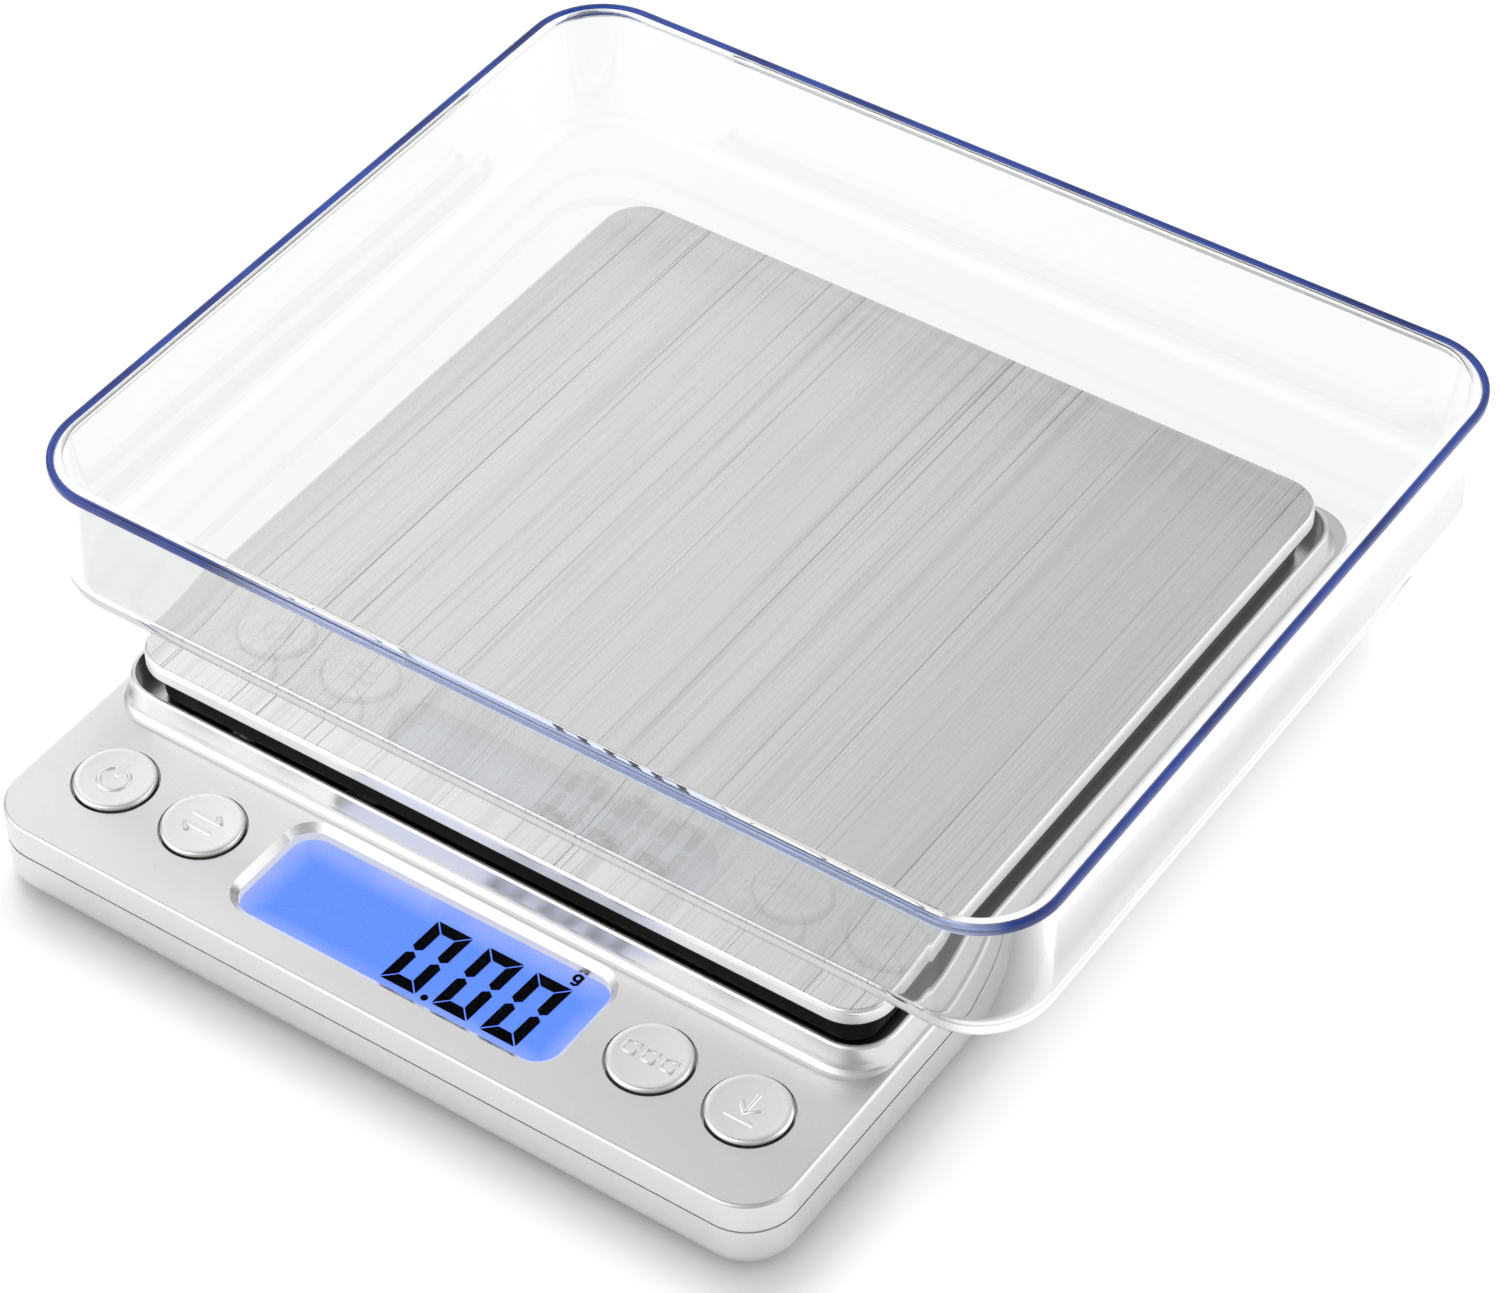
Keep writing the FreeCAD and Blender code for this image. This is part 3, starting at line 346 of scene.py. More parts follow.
def solder_masked_board(name, colour):
    """Board: glass weave showing through a solder mask of uneven colour."""
    finish = Finish(name, colour, Roughness=0.38, Coat_Weight=0.3)
    weave = finish.node("ShaderNodeTexBrick")
    weave.inputs["Scale"].default_value = 1.0
    weave.inputs["Mortar Size"].default_value = 0.12
    weave.inputs["Color1"].default_value = (0, 0, 0, 1)
    weave.inputs["Color2"].default_value = (0.2, 0.2, 0.2, 1)
    weave.inputs["Mortar"].default_value = (1, 1, 1, 1)
    finish.link(finish.scaled_place((420, 420, 420)), weave.inputs["Vector"])
    mask = finish.noise((240, 240, 240), detail=2.0)
    finish.tint(weave.outputs["Fac"], tuple(c * 1.7 for c in colour), 0.8)
    finish.tint(finish.spread(mask, 0.45, 0.7), tuple(c * 0.7 for c in colour), 0.5)
    finish.vary_roughness(mask, 0.32, 0.45)
    finish.emboss(weave.outputs["Fac"], 0.03 * MM, 0.6)
    return finish.material


def strain_foil(name, colour):
    """Foil gauge: fine meander lines on amber film."""
    finish = Finish(name, colour, Roughness=0.3)
    lines = finish.node("ShaderNodeTexWave", bands_direction="X")
    lines.inputs["Scale"].default_value = 1.0
    finish.link(finish.scaled_place((420, 420, 420)), lines.inputs["Vector"])
    film = finish.noise((900, 900, 900))
    finish.tint(finish.spread(lines.outputs["Fac"], 0.45, 0.55), (0.45, 0.2, 0.08), 0.85)
    finish.vary_roughness(film, 0.25, 0.4)
    finish.emboss(lines.outputs["Fac"], 0.01 * MM)
    return finish.material


def cell_sleeve(name, colour, split_y):
    """Shrink sleeve of a cell: dark over most of its length, copper-coloured towards one end."""
    finish = Finish(name, colour, Metallic=0.35, Roughness=0.28, Coat_Weight=0.5)
    grain = finish.noise((300, 60, 300), detail=3.0)
    copper = finish.spread(finish.position("Y"), split_y, split_y + 0.1 * MM)
    finish.tint(copper, (0.62, 0.3, 0.14))
    finish.tint(finish.spread(grain, 0.5, 0.75), (0.05, 0.05, 0.06), 0.3)
    finish.vary_roughness(grain, 0.22, 0.36)
    finish.emboss(grain, 0.02 * MM, 0.4)
    return finish.material


def lit_display(name, colour, low, high):
    """Backlit field, paler towards its edges, with a fine cell grain."""
    finish = Finish(name, (0.02, 0.05, 0.2), Roughness=0.25)
    middle = (low + high) / 2
    half = (high - low) / 2
    border = 5.2 * MM       # the field turns pale between these two distances from its edge
    margin = 1.2 * MM
    edges = []
    for axis, centre, reach in (("X", middle.x, half.x), ("Y", middle.y, half.y)):
        away = finish.node("ShaderNodeMath", operation="SUBTRACT")
        away.inputs[1].default_value = centre
        finish.link(finish.position(axis), away.inputs[0])
        size = finish.node("ShaderNodeMath", operation="ABSOLUTE")
        finish.link(away.outputs[0], size.inputs[0])
        edges.append(finish.spread(size.outputs[0], reach - border, reach - margin))
    nearest = finish.larger(edges[0], edges[1])
    cloud = finish.noise((90, 90, 90), detail=2.0)
    pale = finish.node("ShaderNodeMix", data_type="RGBA")
    pale.inputs["A"].default_value = (*colour, 1.0)
    pale.inputs["B"].default_value = (0.4, 0.48, 1.0, 1.0)
    uneven = finish.spread(cloud, 0.3, 0.6, 0.5, 1.0)
    finish.link(finish.multiply(nearest, uneven), pale.inputs["Factor"])
    mirrored = finish.node("ShaderNodeMix", data_type="RGBA")
    finish.link(finish.node("ShaderNodeLightPath").outputs["Glossy Depth"], mirrored.inputs["Factor"])
    finish.link(pale.outputs["Result"], mirrored.inputs["A"])
    mirrored.inputs["B"].default_value = (0.88, 0.88, 0.88, 1.0)   # no blue glare in what stands round it
    finish.link(mirrored.outputs["Result"], finish.shader.inputs["Emission Color"])
    finish.shader.inputs["Emission Strength"].default_value = 0.92
    grain = finish.noise((4000, 4000, 4000))
    finish.tint(grain, (0.03, 0.07, 0.26), 0.5)
    finish.vary_roughness(grain, 0.22, 0.3)
    finish.emboss(grain, 0.002 * MM, 0.3)
    return finish.material


# ---- mesh helpers --------------------------------------------------------------------------
def piece(name, mesh_data, materials, body, smooth_angle=None):
    """Object for a finished mesh that rides on a body."""
    obj = bpy.data.objects.new(name, mesh_data)
    bpy.context.scene.collection.objects.link(obj)
    for material in materials:
        mesh_data.materials.append(material)
    if smooth_angle is not None:
        mesh_data.shade_smooth()
        mesh_data.set_sharp_from_angle(angle=math.radians(smooth_angle))
    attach(obj, body)
    return obj


def mesh_from(bm, name):
    bmesh.ops.recalc_face_normals(bm, faces=bm.faces)
    data = bpy.data.meshes.new(name)
    bm.to_mesh(data)
    bm.free()
    return data


def rounded_ring(half_x, half_y, radius, steps=14):
    """Points of a rounded rectangle round the origin, anticlockwise."""
    points = []
    for quarter in range(4):
        sign_x = 1 if quarter in (0, 3) else -1
        sign_y = 1 if quarter < 2 else -1
        for k in range(steps + 1):
            angle = (quarter + k / steps) * math.pi / 2
            points.append((sign_x * (half_x - radius) + radius * math.cos(angle),
                           sign_y * (half_y - radius) + radius * math.sin(angle)))
    return points


def quarter_turn(radius, start, end, steps):
    """Offsets (across, up) along an arc of a round edge, angles in degrees."""
    for k in range(steps + 1):
        angle = math.radians(start + (end - start) * k / steps)
        yield radius * math.cos(angle), radius * math.sin(angle)


def loft(sections, name):
    """Closed skin over rings of equal length, capped at both ends."""
    bm = bmesh.new()
    rings = [[bm.verts.new(p) for p in section] for section in sections]
    count = len(rings[0])
    for k in range(len(rings) - 1):
        for i in range(count):
            j = (i + 1) % count
            bm.faces.new((rings[k][i], rings[k][j], rings[k + 1][j], rings[k + 1][i]))
    bm.faces.new(rings[0])
    bm.faces.new(rings[-1])
    return mesh_from(bm, name)


def closed_loft(sections, name):
    """Ring-shaped skin: the last section joins the first."""
    bm = bmesh.new()
    rings = [[bm.verts.new(p) for p in section] for section in sections]
    count = len(rings[0])
    for k in range(len(rings)):
        after = rings[(k + 1) % len(rings)]
        for i in range(count):
            j = (i + 1) % count
            bm.faces.new((rings[k][i], rings[k][j], after[j], after[i]))
    return mesh_from(bm, name)


def lathe(profile, centre, name, steps=64):
    """Solid of revolution about a vertical axis; profile is (radius, z), capped at both ends."""
    sections = []
    for radius, z in profile:
        sections.append([(centre[0] + radius * math.cos(2 * math.pi * k / steps),
                          centre[1] + radius * math.sin(2 * math.pi * k / steps), z) for k in range(steps)])
    return loft(sections, name)


def node_material(nodes, material):
    """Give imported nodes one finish."""
    for node in nodes:
        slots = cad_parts[node].data.materials
        slots.clear()
        slots.append(material)


def all_nodes(*starts):
    return [n for n in sorted(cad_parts) if n.startswith(starts)]


# ---- operators -----------------------------------------------------------------------------
class KITCHENSCALE_OT_covers(bpy.types.Operator):
    """Painted covers and battery door"""

    bl_idname = "kitchenscale.covers"
    bl_label = "Covers"

    def execute(self, context):
        colours = context.scene.scale_colours
        paint = satin_paint("silver_paint", colours.silver)
        node_material(("top_cover", "bottom_cover", "battery_door"), paint)
        return {"FINISHED"}


class KITCHENSCALE_OT_platform(bpy.types.Operator):
    """Brushed steel platform and its carrier"""

    bl_idname = "kitchenscale.platform"
    bl_label = "Platform"

    def execute(self, context):
        colours = context.scene.scale_colours
        plate_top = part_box("platform_plate")[1].z
        node_material(("platform_plate",), brushed_steel("brushed_steel", colours.steel, plate_top))
        node_material(("platform_carrier",), moulded_plastic("carrier_black", (0.012, 0.012, 0.013), 0.5))
        return {"FINISHED"}


class KITCHENSCALE_OT_tray(bpy.types.Operator):
    """Clear tray with its blue rim"""

    bl_idname = "kitchenscale.tray"
    bl_label = "Tray"

    def execute(self, context):
        sizes = context.scene.scale_sizes
        colours = context.scene.scale_colours
        low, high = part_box("tray")
        low.z += TRAY_GAP
        bead_in = sizes.rim_out + BEAD_OVERLAP
        rim_low = high.z - sizes.rim_height
        styrene = clear_plastic("clear_styrene", (0.845, 0.855, 0.853), None)
        walls = self.swept(self.walls(low, high, sizes, bead_in, rim_low), low, high, sizes)
        tray = piece("clear_tray", loft(walls, "clear_tray"), (styrene,),
                     "tray", smooth_angle=40)
        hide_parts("tray")
        for setting in ("visible_shadow", "visible_diffuse", "visible_glossy"):
            setattr(tray, setting, False)
        blue = edge_blue("blue_rim", colours.rim, low + Vector((PAINTED_LIGHT_FROM_LEFT, 0, 0)))
        bead = self.swept(self.bead(high, bead_in, rim_low), low, high, sizes)
        rim = piece("tray_rim", closed_loft(bead, "tray_rim"), (blue,),
                    "tray", smooth_angle=40)
        rim.visible_shadow = False
        rim.visible_diffuse = False
        return {"FINISHED"}

    def walls(self, low, high, sizes, bead_in, rim_low):
        """Section of the walls as (inset from the rim's outside, z): up the outside, down the inside."""
        inner = sizes.rim_out + sizes.tray_wall
        foot_in = sizes.tray_foot - sizes.tray_wall + TRAY_FOOT_EXTRA
        floor_z = low.z + sizes.tray_floor
        shoulder = bead_in + BEAD_GAP
        top_round = (inner - shoulder) / 2
        path = []
        for across, up in quarter_turn(sizes.tray_foot, -90, 0, 8):
            path.append((sizes.rim_out + sizes.tray_foot - across, low.z + sizes.tray_foot + up))
        path += [(sizes.rim_out, rim_low - BEAD_GAP), (shoulder, rim_low - BEAD_GAP)]
        for across, up in quarter_turn(top_round, 0, 180, 8):
            path.append((shoulder + top_round - across, high.z - top_round - WALL_BELOW_RIM + up))
        for across, up in quarter_turn(foot_in, 0, -90, 8):
            path.append((inner + foot_in - across, floor_z + foot_in + up))
        return path

    def bead(self, high, bead_in, rim_low):
        """Section of the coloured bead: a rectangle with rounded corners."""
        outside = BEAD_ROUND
        inside = bead_in - BEAD_ROUND
        bottom = rim_low + BEAD_ROUND
        top = high.z - BEAD_ROUND
        corners = ((-90, outside, bottom), (0, outside, top), (90, inside, top), (180, inside, bottom))
        path = []
        for start, inset, z in corners:
            for across, up in quarter_turn(BEAD_ROUND, start, start + 90, 4):
                path.append((inset - across, z + up))
        return path

    def swept(self, path, low, high, sizes):
        """Rings round the tray's rounded rectangle, one for each (inset, z) of a section."""
        middle = (low + high) / 2
        half = (high - low) / 2
        rings = []
        for inset, z in path:
            corner = max(sizes.tray_corner - inset, LEAST_CORNER)
            points = rounded_ring(half.x - inset, half.y - inset, corner)
            rings.append([(middle.x + x, middle.y + y, z) for x, y in points])
        return rings


def circle_points(centre, radius_x, radius_y, steps):
    """Points of an upright oval, anticlockwise from +X."""
    turns = [2 * math.pi * k / steps for k in range(steps)]
    return [(centre[0] + radius_x * math.cos(turn), centre[1] + radius_y * math.sin(turn)) for turn in turns]


def prisms(outlines, bottom_z, top_z, name):
    """Flat plates, one over each outline."""
    bm = bmesh.new()
    for outline in outlines:
        bottom = [bm.verts.new((x, y, bottom_z)) for x, y in outline]
        top = [bm.verts.new((x, y, top_z)) for x, y in outline]
        bm.faces.new(bottom)
        bm.faces.new(top)
        for i in range(len(outline)):
            j = (i + 1) % len(outline)
            bm.faces.new((bottom[i], bottom[j], top[j], top[i]))
    return mesh_from(bm, name)


def figure_zero(left, base, sizes):
    """Outlines of the six bars of a nought, leaning a little to the right."""
    gap = 0.11 * MM
    lean = 0.045
    blunt = 0.35    # how far the inner ends taper, in strokes
    w = sizes.figure_width
    h = sizes.figure_height
    s = sizes.figure_stroke
    # Outer corners mitre at 45 degrees: the level bars are trapeziums.
    bars = [
        [(gap, h), (w - gap, h), (w - s - gap, h - s), (s + gap, h - s)],
        [(gap, 0), (s + gap, s), (w - s - gap, s), (w - gap, 0)],
    ]
    mid = h / 2
    for flip in (False, True):
        for top in (True, False):
            y_end = h - gap if top else gap
            y_in = h - s - gap if top else s + gap
            sign = 1 if top else -1
            bar = [(0, y_end), (s, y_in), (s, mid + sign * (gap + s * blunt)), (s / 2, mid + sign * gap),
                   (0, mid + sign * (gap + s * blunt))]
            bars.append([(w - x, y) for x, y in bar] if flip else bar)
    return [[(left + x + lean * y, base + y) for x, y in bar] for bar in bars]


class KITCHENSCALE_OT_display(bpy.types.Operator):
    """Lit display with its figures, window, backlight and frame"""

    bl_idname = "kitchenscale.display"
    bl_label = "Display"

    def execute(self, context):
        sizes = context.scene.scale_sizes
        colours = context.scene.scale_colours
        low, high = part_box("lcd_glass")
        node_material(("lcd_glass",), lit_display("lit_blue", tuple(colours.display), low, high))
        window = clear_plastic("window_acrylic", (1.0, 1.0, 1.0), (0.99, 0.99, 0.99), waves=0.001, ior=1.08)
        node_material(("display_window",), window)
        node_material(("lcd_backlight",), moulded_plastic("light_guide", (0.7, 0.78, 0.95), 0.3))
        node_material(("lcd_frame",), moulded_plastic("frame_white", (0.8, 0.8, 0.78), 0.5))
        node_material(("lcd_connector",), moulded_plastic("layered_rubber", (0.2, 0.2, 0.21), 0.8))
        self.figures(low, high, sizes)
        return {"FINISHED"}

    def figures(self, low, high, sizes):
        """Three noughts, a point after the first, and the unit, on top of the display glass."""
        bottom_z = high.z + 0.01 * MM
        centre_x = (low.x + high.x) / 2
        base = (low.y + high.y) / 2 - FIGURES_DOWN
        outlines = []
        for left in FIGURES_LEFT:
            outlines += figure_zero(centre_x + left, base, sizes)
        point = (centre_x + POINT_AT[0], base + POINT_AT[1])
        outlines.append(circle_points(point, POINT_RADIUS, POINT_RADIUS, 16))
        ink = moulded_plastic("display_ink", (0.001, 0.001, 0.002), 0.6, 3000)
        ink.node_tree.nodes["Principled BSDF"].inputs["Specular IOR Level"].default_value = 0.0
        figures = prisms(outlines, bottom_z, bottom_z + INK_HEIGHT, "display_figures")
        piece("display_figures", figures, (ink,), "case")
        unit = unit_mark((centre_x + UNIT_AT[0], base + UNIT_AT[1], bottom_z))
        piece("display_unit", unit, (ink,), "case")


def stroke_mesh(name, strokes, width, height):
    """Raised strokes, each (points, closed); width and height in metres."""
    curve = bpy.data.curves.new(name, "CURVE")
    curve.dimensions = "3D"
    curve.bevel_depth = width / 2
    curve.bevel_resolution = 3
    curve.use_fill_caps = True
    for points, closed in strokes:
        spline = curve.splines.new("POLY")
        spline.points.add(len(points) - 1)
        for point, place in zip(spline.points, points):
            point.co = (*place, 1.0)
        spline.use_cyclic_u = closed
    holder = bpy.data.objects.new(name, curve)
    bpy.context.scene.collection.objects.link(holder)
    bpy.context.view_layer.update()
    data = bpy.data.meshes.new_from_object(holder.evaluated_get(bpy.context.evaluated_depsgraph_get()))
    bpy.data.objects.remove(holder)
    middle = strokes[0][0][0][2]      # every point of a stroke lies at one height
    squeeze = height / (width / 2)
    for vertex in data.vertices:
        vertex.co.z = middle + (vertex.co.z - middle) * squeeze
    data.name = name
    return data


def unit_mark(centre):
    """Small g beside the figures."""
    x, y, z = centre
    ring = [(px, py, z) for px, py in circle_points((x, y), 0.42 * MM, 0.45 * MM, 16)]
    hook = ((0.42, 0.5), (0.42, -0.75), (0.2, -1.0), (-0.35, -0.95))
    tail = [(x + px * MM, y + py * MM, z) for px, py in hook]
    return stroke_mesh("display_unit", [(ring, True), (tail, False)], 0.4 * MM, INK_HEIGHT)


def arc_points(centre, radius, start, end, z, steps=20):
    """Points along an arc; angles in degrees from +X, anticlockwise."""
    points = []
    for k in range(steps + 1):
        angle = math.radians(start + (end - start) * k / steps)
        points.append((centre[0] + radius * math.cos(angle), centre[1] + radius * math.sin(angle), z))
    return points


def button_sign(name, x, y, z):
    """Strokes of the raised sign on one cap: (points, closed) pairs."""
    if name == "power":
        ring = arc_points((x, y - 0.15 * MM), 1.75 * MM, 125, 415, z)
        return [(ring, False), ([(x, y + 0.3 * MM, z), (x, y + 2.35 * MM, z)], False)]
    if name == "mode":      # two arrows, there and back
        lines = [[(-1.9, 0.85), (1.9, 0.85)], [(0.9, 1.75), (1.9, 0.85)],
                 [(1.9, -0.85), (-1.9, -0.85)], [(-0.9, -1.75), (-1.9, -0.85)]]
    elif name == "count":   # three pieces in a row
        h = 0.75            # half a square's side
        lines = [[(c - h, -h), (c + h, -h), (c + h, h), (c - h, h)] for c in (-2.45, 0.0, 2.45)]
    else:                   # arrow down on to a line: back to nothing
        lines = [[(0.0, 2.0), (0.0, -0.9)], [(-1.2, 0.35), (0.0, -0.9), (1.2, 0.35)],
                 [(-1.8, -1.85), (1.8, -1.85)]]
    return [([(x + px * MM, y + py * MM, z) for px, py in line], name == "count") for line in lines]


class KITCHENSCALE_OT_buttons(bpy.types.Operator):
    """Button caps with raised signs, their switches and plungers"""

    bl_idname = "kitchenscale.buttons"
    bl_label = "Buttons"

    def execute(self, context):
        sizes = context.scene.scale_sizes
        colours = context.scene.scale_colours
        # Painted light: the caps get a lighter copy of the covers' paint so that they read brighter.
        paint = satin_paint("cap_silver", tuple(min(1.0, c * CAP_LIGHTER) for c in colours.silver))
        panel_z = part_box("display_window")[1].z + PANEL_ABOVE_WINDOW
        for name in BUTTON_NAMES:
            low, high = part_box("button_" + name)
            x = (low.x + high.x) / 2
            y = (low.y + high.y) / 2
            data = lathe(self.profile(low, high, panel_z), (x, y), "cap_" + name)
            cap = piece("cap_" + name, data, (paint,), "button_" + name, smooth_angle=38)
            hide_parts("button_" + name)
            strokes = button_sign(name, x, y, high.z - SIGN_DOWN)
            sign = stroke_mesh("sign_" + name, strokes, SIGN_STROKE, sizes.legend_height)
            sign.shade_smooth()
            piece("sign_" + name, sign, (paint,), "button_" + name)
        node_material(all_nodes("switch_"), moulded_plastic("switch_black", (0.03, 0.03, 0.03), 0.45))
        node_material(all_nodes("plunger_"), moulded_plastic("plunger_brown", (0.09, 0.05, 0.03), 0.4))
        return {"FINISHED"}

    def profile(self, low, high, panel_z):
        """Half section of a cap as (radius, z): stem, flange under the panel, rounded and dished top."""
        dimple = 0.6 * MM
        stem = 2.0 * MM
        flange = (high.x - low.x) / 2
        flange_low = panel_z - 2.9 * MM
        flange_top = panel_z - 2.1 * MM
        points = [(dimple, low.z), (stem, low.z), (stem, flange_low), (flange, flange_low),
                  (flange, flange_top), (CAP_RADIUS, flange_top)]
        for across, up in quarter_turn(CAP_EDGE, 0, 90, 5):
            points.append((CAP_RADIUS - CAP_EDGE + across, high.z - CAP_EDGE + up))
        for share in (0.82, 0.7, 0.55, 0.4, 0.2, 0.05):
            points.append((CAP_RADIUS * share, high.z - CAP_DISH * (1 - share * share)))
        return points


class KITCHENSCALE_OT_feet(bpy.types.Operator):
    """Rubber feet, hollow underneath"""

    bl_idname = "kitchenscale.feet"
    bl_label = "Feet"

    def execute(self, context):
        rubber = moulded_plastic("foot_rubber", (0.07, 0.07, 0.072), 0.75, 900)
        for node in all_nodes("foot_"):
            low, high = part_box(node)
            centre = ((low.x + high.x) / 2, (low.y + high.y) / 2)
            radius = (high.x - low.x) / 2
            profile = [(radius * 0.3, FOOT_HOLLOW), (radius * 0.55, FOOT_HOLLOW), (radius * 0.62, 0.0)]
            for across, up in quarter_turn(FOOT_EDGE, -90, 0, 5):
                profile.append((radius - FOOT_EDGE + across, FOOT_EDGE + up))
            profile += [(radius, high.z), (radius * 0.5, high.z)]
            data = lathe(profile, centre, node)
            foot = piece("rubber_" + node, data, (rubber,), "case", smooth_angle=38)
            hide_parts(node)
        return {"FINISHED"}


class KITCHENSCALE_OT_weighing(bpy.types.Operator):
    """Load cell and its strain gauges"""

    bl_idname = "kitchenscale.weighing"
    bl_label = "Load cell"

    def execute(self, context):
        node_material(("load_cell",), bare_metal("beam_alloy", (0.78, 0.79, 0.8), 0.32, (250, 2500, 2500)))
        node_material(all_nodes("strain_gauge"), strain_foil("gauge_foil", (0.72, 0.5, 0.2)))
        return {"FINISHED"}


class KITCHENSCALE_OT_electronics(bpy.types.Operator):
    """Circuit board, controller and leads"""

    bl_idname = "kitchenscale.electronics"
    bl_label = "Electronics"

    def execute(self, context):
        node_material(("circuit_board",), solder_masked_board("solder_mask", (0.02, 0.16, 0.07)))
        node_material(("controller_chip",), moulded_plastic("chip_resin", (0.012, 0.012, 0.012), 0.42))
        leads = (("battery_lead_positive", (0.55, 0.02, 0.02)), ("battery_lead_negative", (0.01, 0.01, 0.01)),
                 ("load_cell_cable", (0.4, 0.4, 0.41)))
        for node, colour in leads:
            node_material((node,), moulded_plastic(node + "_sleeve", colour, 0.35, 2400))
        return {"FINISHED"}


class KITCHENSCALE_OT_power(bpy.types.Operator):
    """Cells, contacts and springs"""

    bl_idname = "kitchenscale.power"
    bl_label = "Battery bay"

    def execute(self, context):
        plated = bare_metal("nickel_plate", (0.7, 0.68, 0.64), 0.22)
        node_material(all_nodes("battery_terminal", "battery_bridge", "battery_spring"), plated)
        for node in ("battery_first", "battery_second"):
            low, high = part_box(node)
            split = low.y + 0.32 * (high.y - low.y)
            node_material((node,), cell_sleeve(node + "_sleeve", (0.03, 0.032, 0.036), split))
        return {"FINISHED"}


class KITCHENSCALE_OT_fixings(bpy.types.Operator):
    """Screws and overload stop pins"""

    bl_idname = "kitchenscale.fixings"
    bl_label = "Fixings"

    def execute(self, context):
        node_material(all_nodes("case_screws", "load_cell_screws", "carrier_screws", "circuit_board_screws",
                                "overload_stops"), bare_metal("zinc_plate", (0.66, 0.66, 0.67), 0.26))
        return {"FINISHED"}


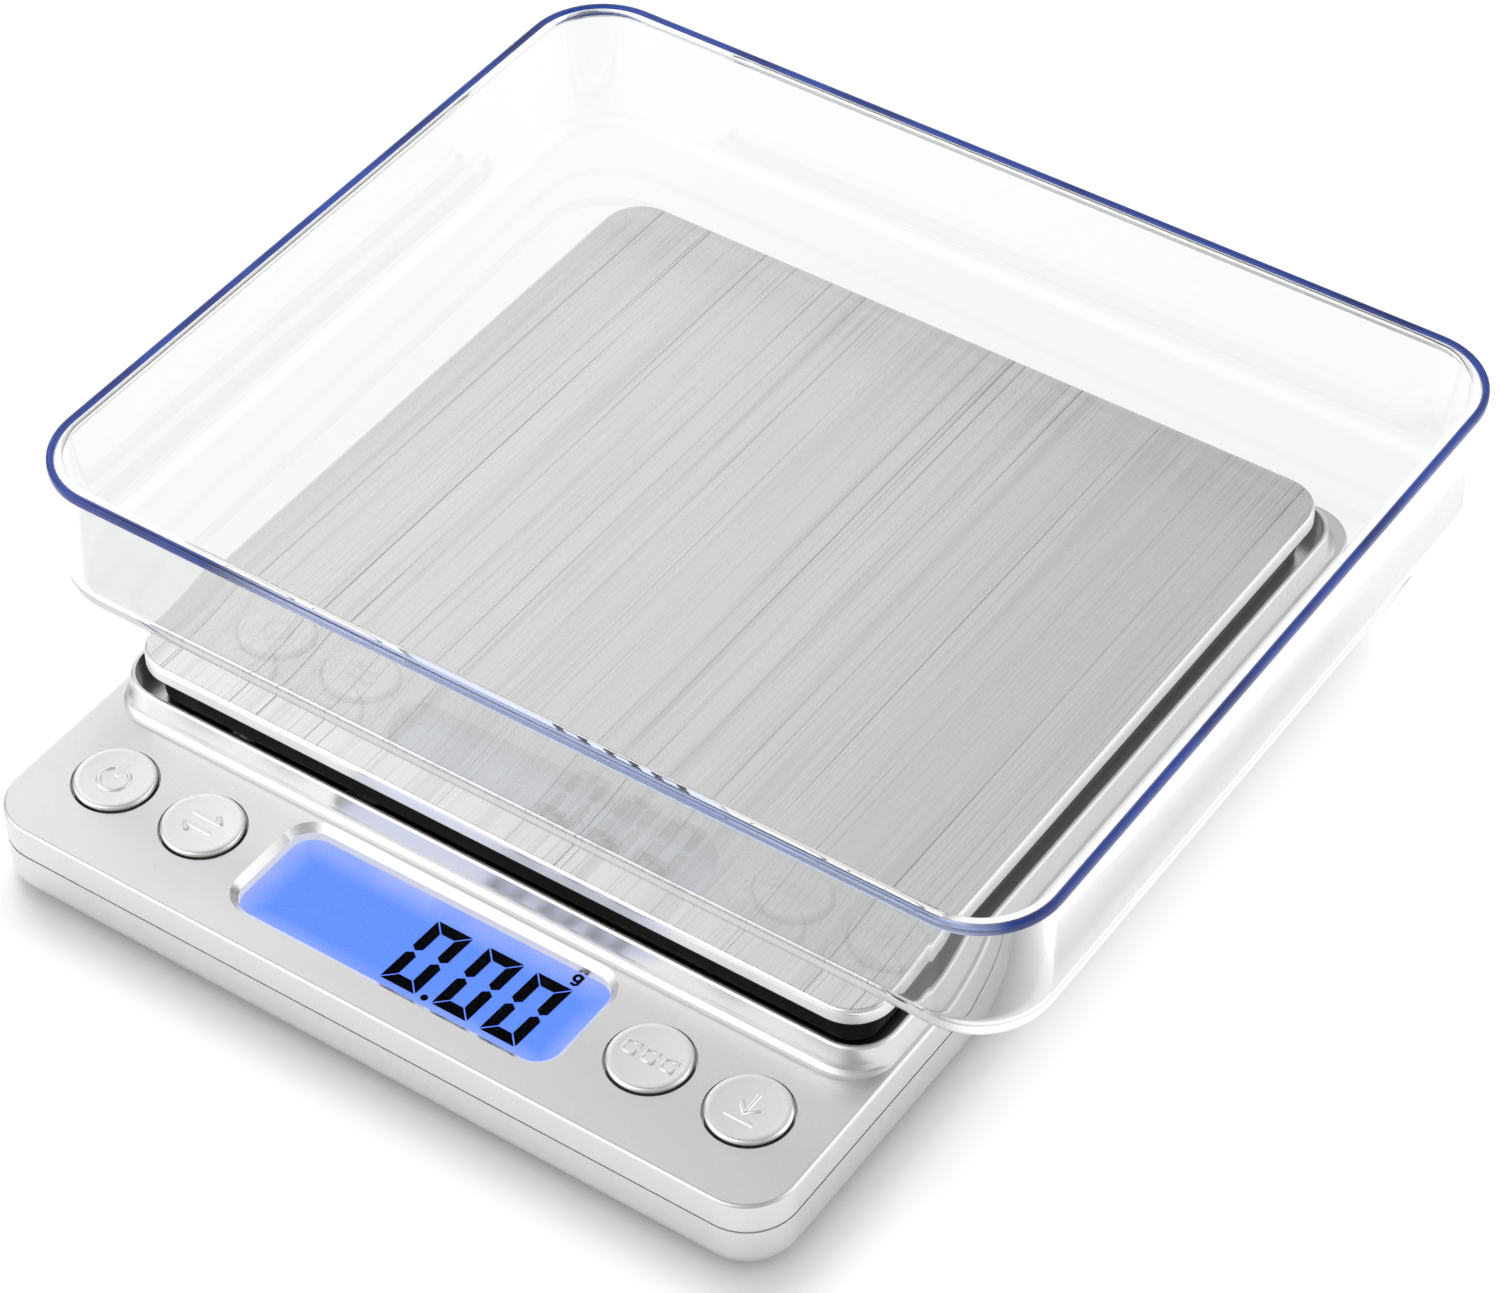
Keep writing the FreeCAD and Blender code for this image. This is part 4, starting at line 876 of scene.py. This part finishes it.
class KITCHENSCALE_OT_stage(bpy.types.Operator):
    """Pale floor, soft lights and camera"""

    bl_idname = "kitchenscale.stage"
    bl_label = "Stage"

    def execute(self, context):
        scene = context.scene
        scene.view_settings.view_transform = "Standard"
        self.floor()
        self.world(scene)
        self.lamps(scene)
        self.camera(scene)
        return {"FINISHED"}

    def floor(self):
        bm = bmesh.new()
        bmesh.ops.create_grid(bm, x_segments=24, y_segments=24, size=FLOOR_REACH)
        data = mesh_from(bm, "floor")
        finish = Finish("floor_white", (0.985, 0.985, 0.985), Roughness=0.6)
        finish.tint(finish.noise((3, 3, 3)), (0.97, 0.97, 0.975), 0.5)
        data.materials.append(finish.material)
        floor = bpy.data.objects.new("floor", data)
        bpy.context.scene.collection.objects.link(floor)

    def world(self, scene):
        """White surroundings: even light for the room, and soft boxes round about for shiny parts."""
        world = bpy.data.worlds.new("studio")
        scene.world = world
        world.use_nodes = True
        tree = world.node_tree
        direction = tree.nodes.new("ShaderNodeTexCoord").outputs["Generated"]
        parts = tree.nodes.new("ShaderNodeSeparateXYZ")
        tree.links.new(direction, parts.inputs[0])

        def ranged(source, low, high, out_low, out_high):
            node = tree.nodes.new("ShaderNodeMapRange")
            node.interpolation_type = "SMOOTHSTEP"
            limits = (("From Min", low), ("From Max", high), ("To Min", out_low), ("To Max", out_high))
            for key, value in limits:
                node.inputs[key].default_value = value
            tree.links.new(source, node.inputs["Value"])
            return node.outputs["Result"]

        def joined(operation, first, second):
            node = tree.nodes.new("ShaderNodeMath")
            node.operation = operation
            tree.links.new(first, node.inputs[0])
            tree.links.new(second, node.inputs[1])
            return node.outputs[0]

        def towards(aim, low, high, out_high):
            """Soft patch of light around one direction."""
            node = tree.nodes.new("ShaderNodeVectorMath")
            node.operation = "DOT_PRODUCT"
            node.inputs[1].default_value = Vector(aim).normalized()
            tree.links.new(direction, node.inputs[0])
            return ranged(node.outputs["Value"], low, high, 0.0, out_high)

        across, away, up = parts.outputs["X"], parts.outputs["Y"], parts.outputs["Z"]
        room = ranged(up, -0.1, 0.3, 0.72, 0.76)
        left_box = ranged(across, -0.56, -0.3, 1.28, 0.7)
        shine = joined("MULTIPLY", left_box, ranged(across, -0.25, 0.8, 1.0, 0.8))
        shine = joined("MULTIPLY", shine, ranged(up, -0.05, 0.4, 0.45, 1.0))
        before = ranged(away, 0.08, -0.12, 0.4, 1.0)
        behind = ranged(away, 0.16, 0.38, 0.4, 1.0)
        shine = joined("MULTIPLY", shine, joined("MAXIMUM", before, behind))      # darker between the two
        shine = joined("ADD", shine, towards((-0.41, -0.68, 0.6), 0.72, 0.97, 0.8))
        shine = joined("ADD", shine, towards((0.7, 0.58, 0.42), 0.66, 0.97, 0.95))
        pick = tree.nodes.new("ShaderNodeMix")
        tree.links.new(tree.nodes.new("ShaderNodeLightPath").outputs["Is Glossy Ray"], pick.inputs["Factor"])
        tree.links.new(room, pick.inputs["A"])
        tree.links.new(shine, pick.inputs["B"])
        tree.links.new(pick.outputs["Result"], tree.nodes["Background"].inputs["Strength"])
        tree.nodes["Background"].inputs["Color"].default_value = (1.0, 1.0, 1.0, 1.0)

    def lamps(self, scene):
        """A soft lamp for light and shadow: the surroundings make the reflections."""
        aim = Vector((0.0, 0.0, 0.01))
        place = Vector((-0.35, 0.3, 1.15))
        lamp = bpy.data.lights.new("key", "AREA")
        lamp.shape = "SQUARE"
        lamp.size = 0.7
        lamp.energy = 7.2
        holder = bpy.data.objects.new("key", lamp)
        holder.location = place
        holder.rotation_euler = (aim - place).to_track_quat("-Z", "Y").to_euler()
        holder.visible_glossy = False
        holder.visible_transmission = False
        scene.collection.objects.link(holder)

    def camera(self, scene):
        lens = bpy.data.cameras.new("camera")
        lens.sensor_width = 36.0
        lens.lens = 111.07
        lens.shift_x = -0.0169
        lens.shift_y = -0.0005
        camera = bpy.data.objects.new("camera", lens)
        place = Vector((0.225693, -0.309593, 0.383283))
        right = Vector((0.825033, 0.564977, -0.011022))
        back = Vector((0.411551, -0.587390, 0.696849))
        up = back.cross(right)
        turn = Matrix((right, up, back)).transposed()
        camera.matrix_world = Matrix.Translation(place) @ turn.to_4x4()
        scene.collection.objects.link(camera)
        scene.camera = camera


class KITCHENSCALE_PT_panel(bpy.types.Panel):
    """Lists the pieces of the scale"""

    bl_idname = "KITCHENSCALE_PT_panel"
    bl_label = "Kitchen Scale"
    bl_space_type = "VIEW_3D"
    bl_region_type = "UI"
    bl_category = "Kitchen Scale"

    def draw(self, context):
        layout = self.layout
        for group in (context.scene.scale_sizes, context.scene.scale_colours):
            for key in group.__annotations__:
                layout.prop(group, key)
        for operator in OPERATORS:
            layout.operator(operator.bl_idname)


OPERATORS = (
    KITCHENSCALE_OT_stage,
    KITCHENSCALE_OT_covers,
    KITCHENSCALE_OT_platform,
    KITCHENSCALE_OT_tray,
    KITCHENSCALE_OT_display,
    KITCHENSCALE_OT_buttons,
    KITCHENSCALE_OT_feet,
    KITCHENSCALE_OT_weighing,
    KITCHENSCALE_OT_electronics,
    KITCHENSCALE_OT_power,
    KITCHENSCALE_OT_fixings,
)
CLASSES = (ScaleSizes, ScaleColours) + OPERATORS + (KITCHENSCALE_PT_panel,)


def register():
    for kind in CLASSES:
        bpy.utils.register_class(kind)
    bpy.types.Scene.scale_sizes = bpy.props.PointerProperty(type=ScaleSizes)
    bpy.types.Scene.scale_colours = bpy.props.PointerProperty(type=ScaleColours)


def unregister():
    del bpy.types.Scene.scale_colours
    del bpy.types.Scene.scale_sizes
    for kind in reversed(CLASSES):
        bpy.utils.unregister_class(kind)


def main():
    register()
    for operator in OPERATORS:
        group, name = operator.bl_idname.split(".")
        getattr(getattr(bpy.ops, group), name)()


if __name__ == "__main__":
    main()
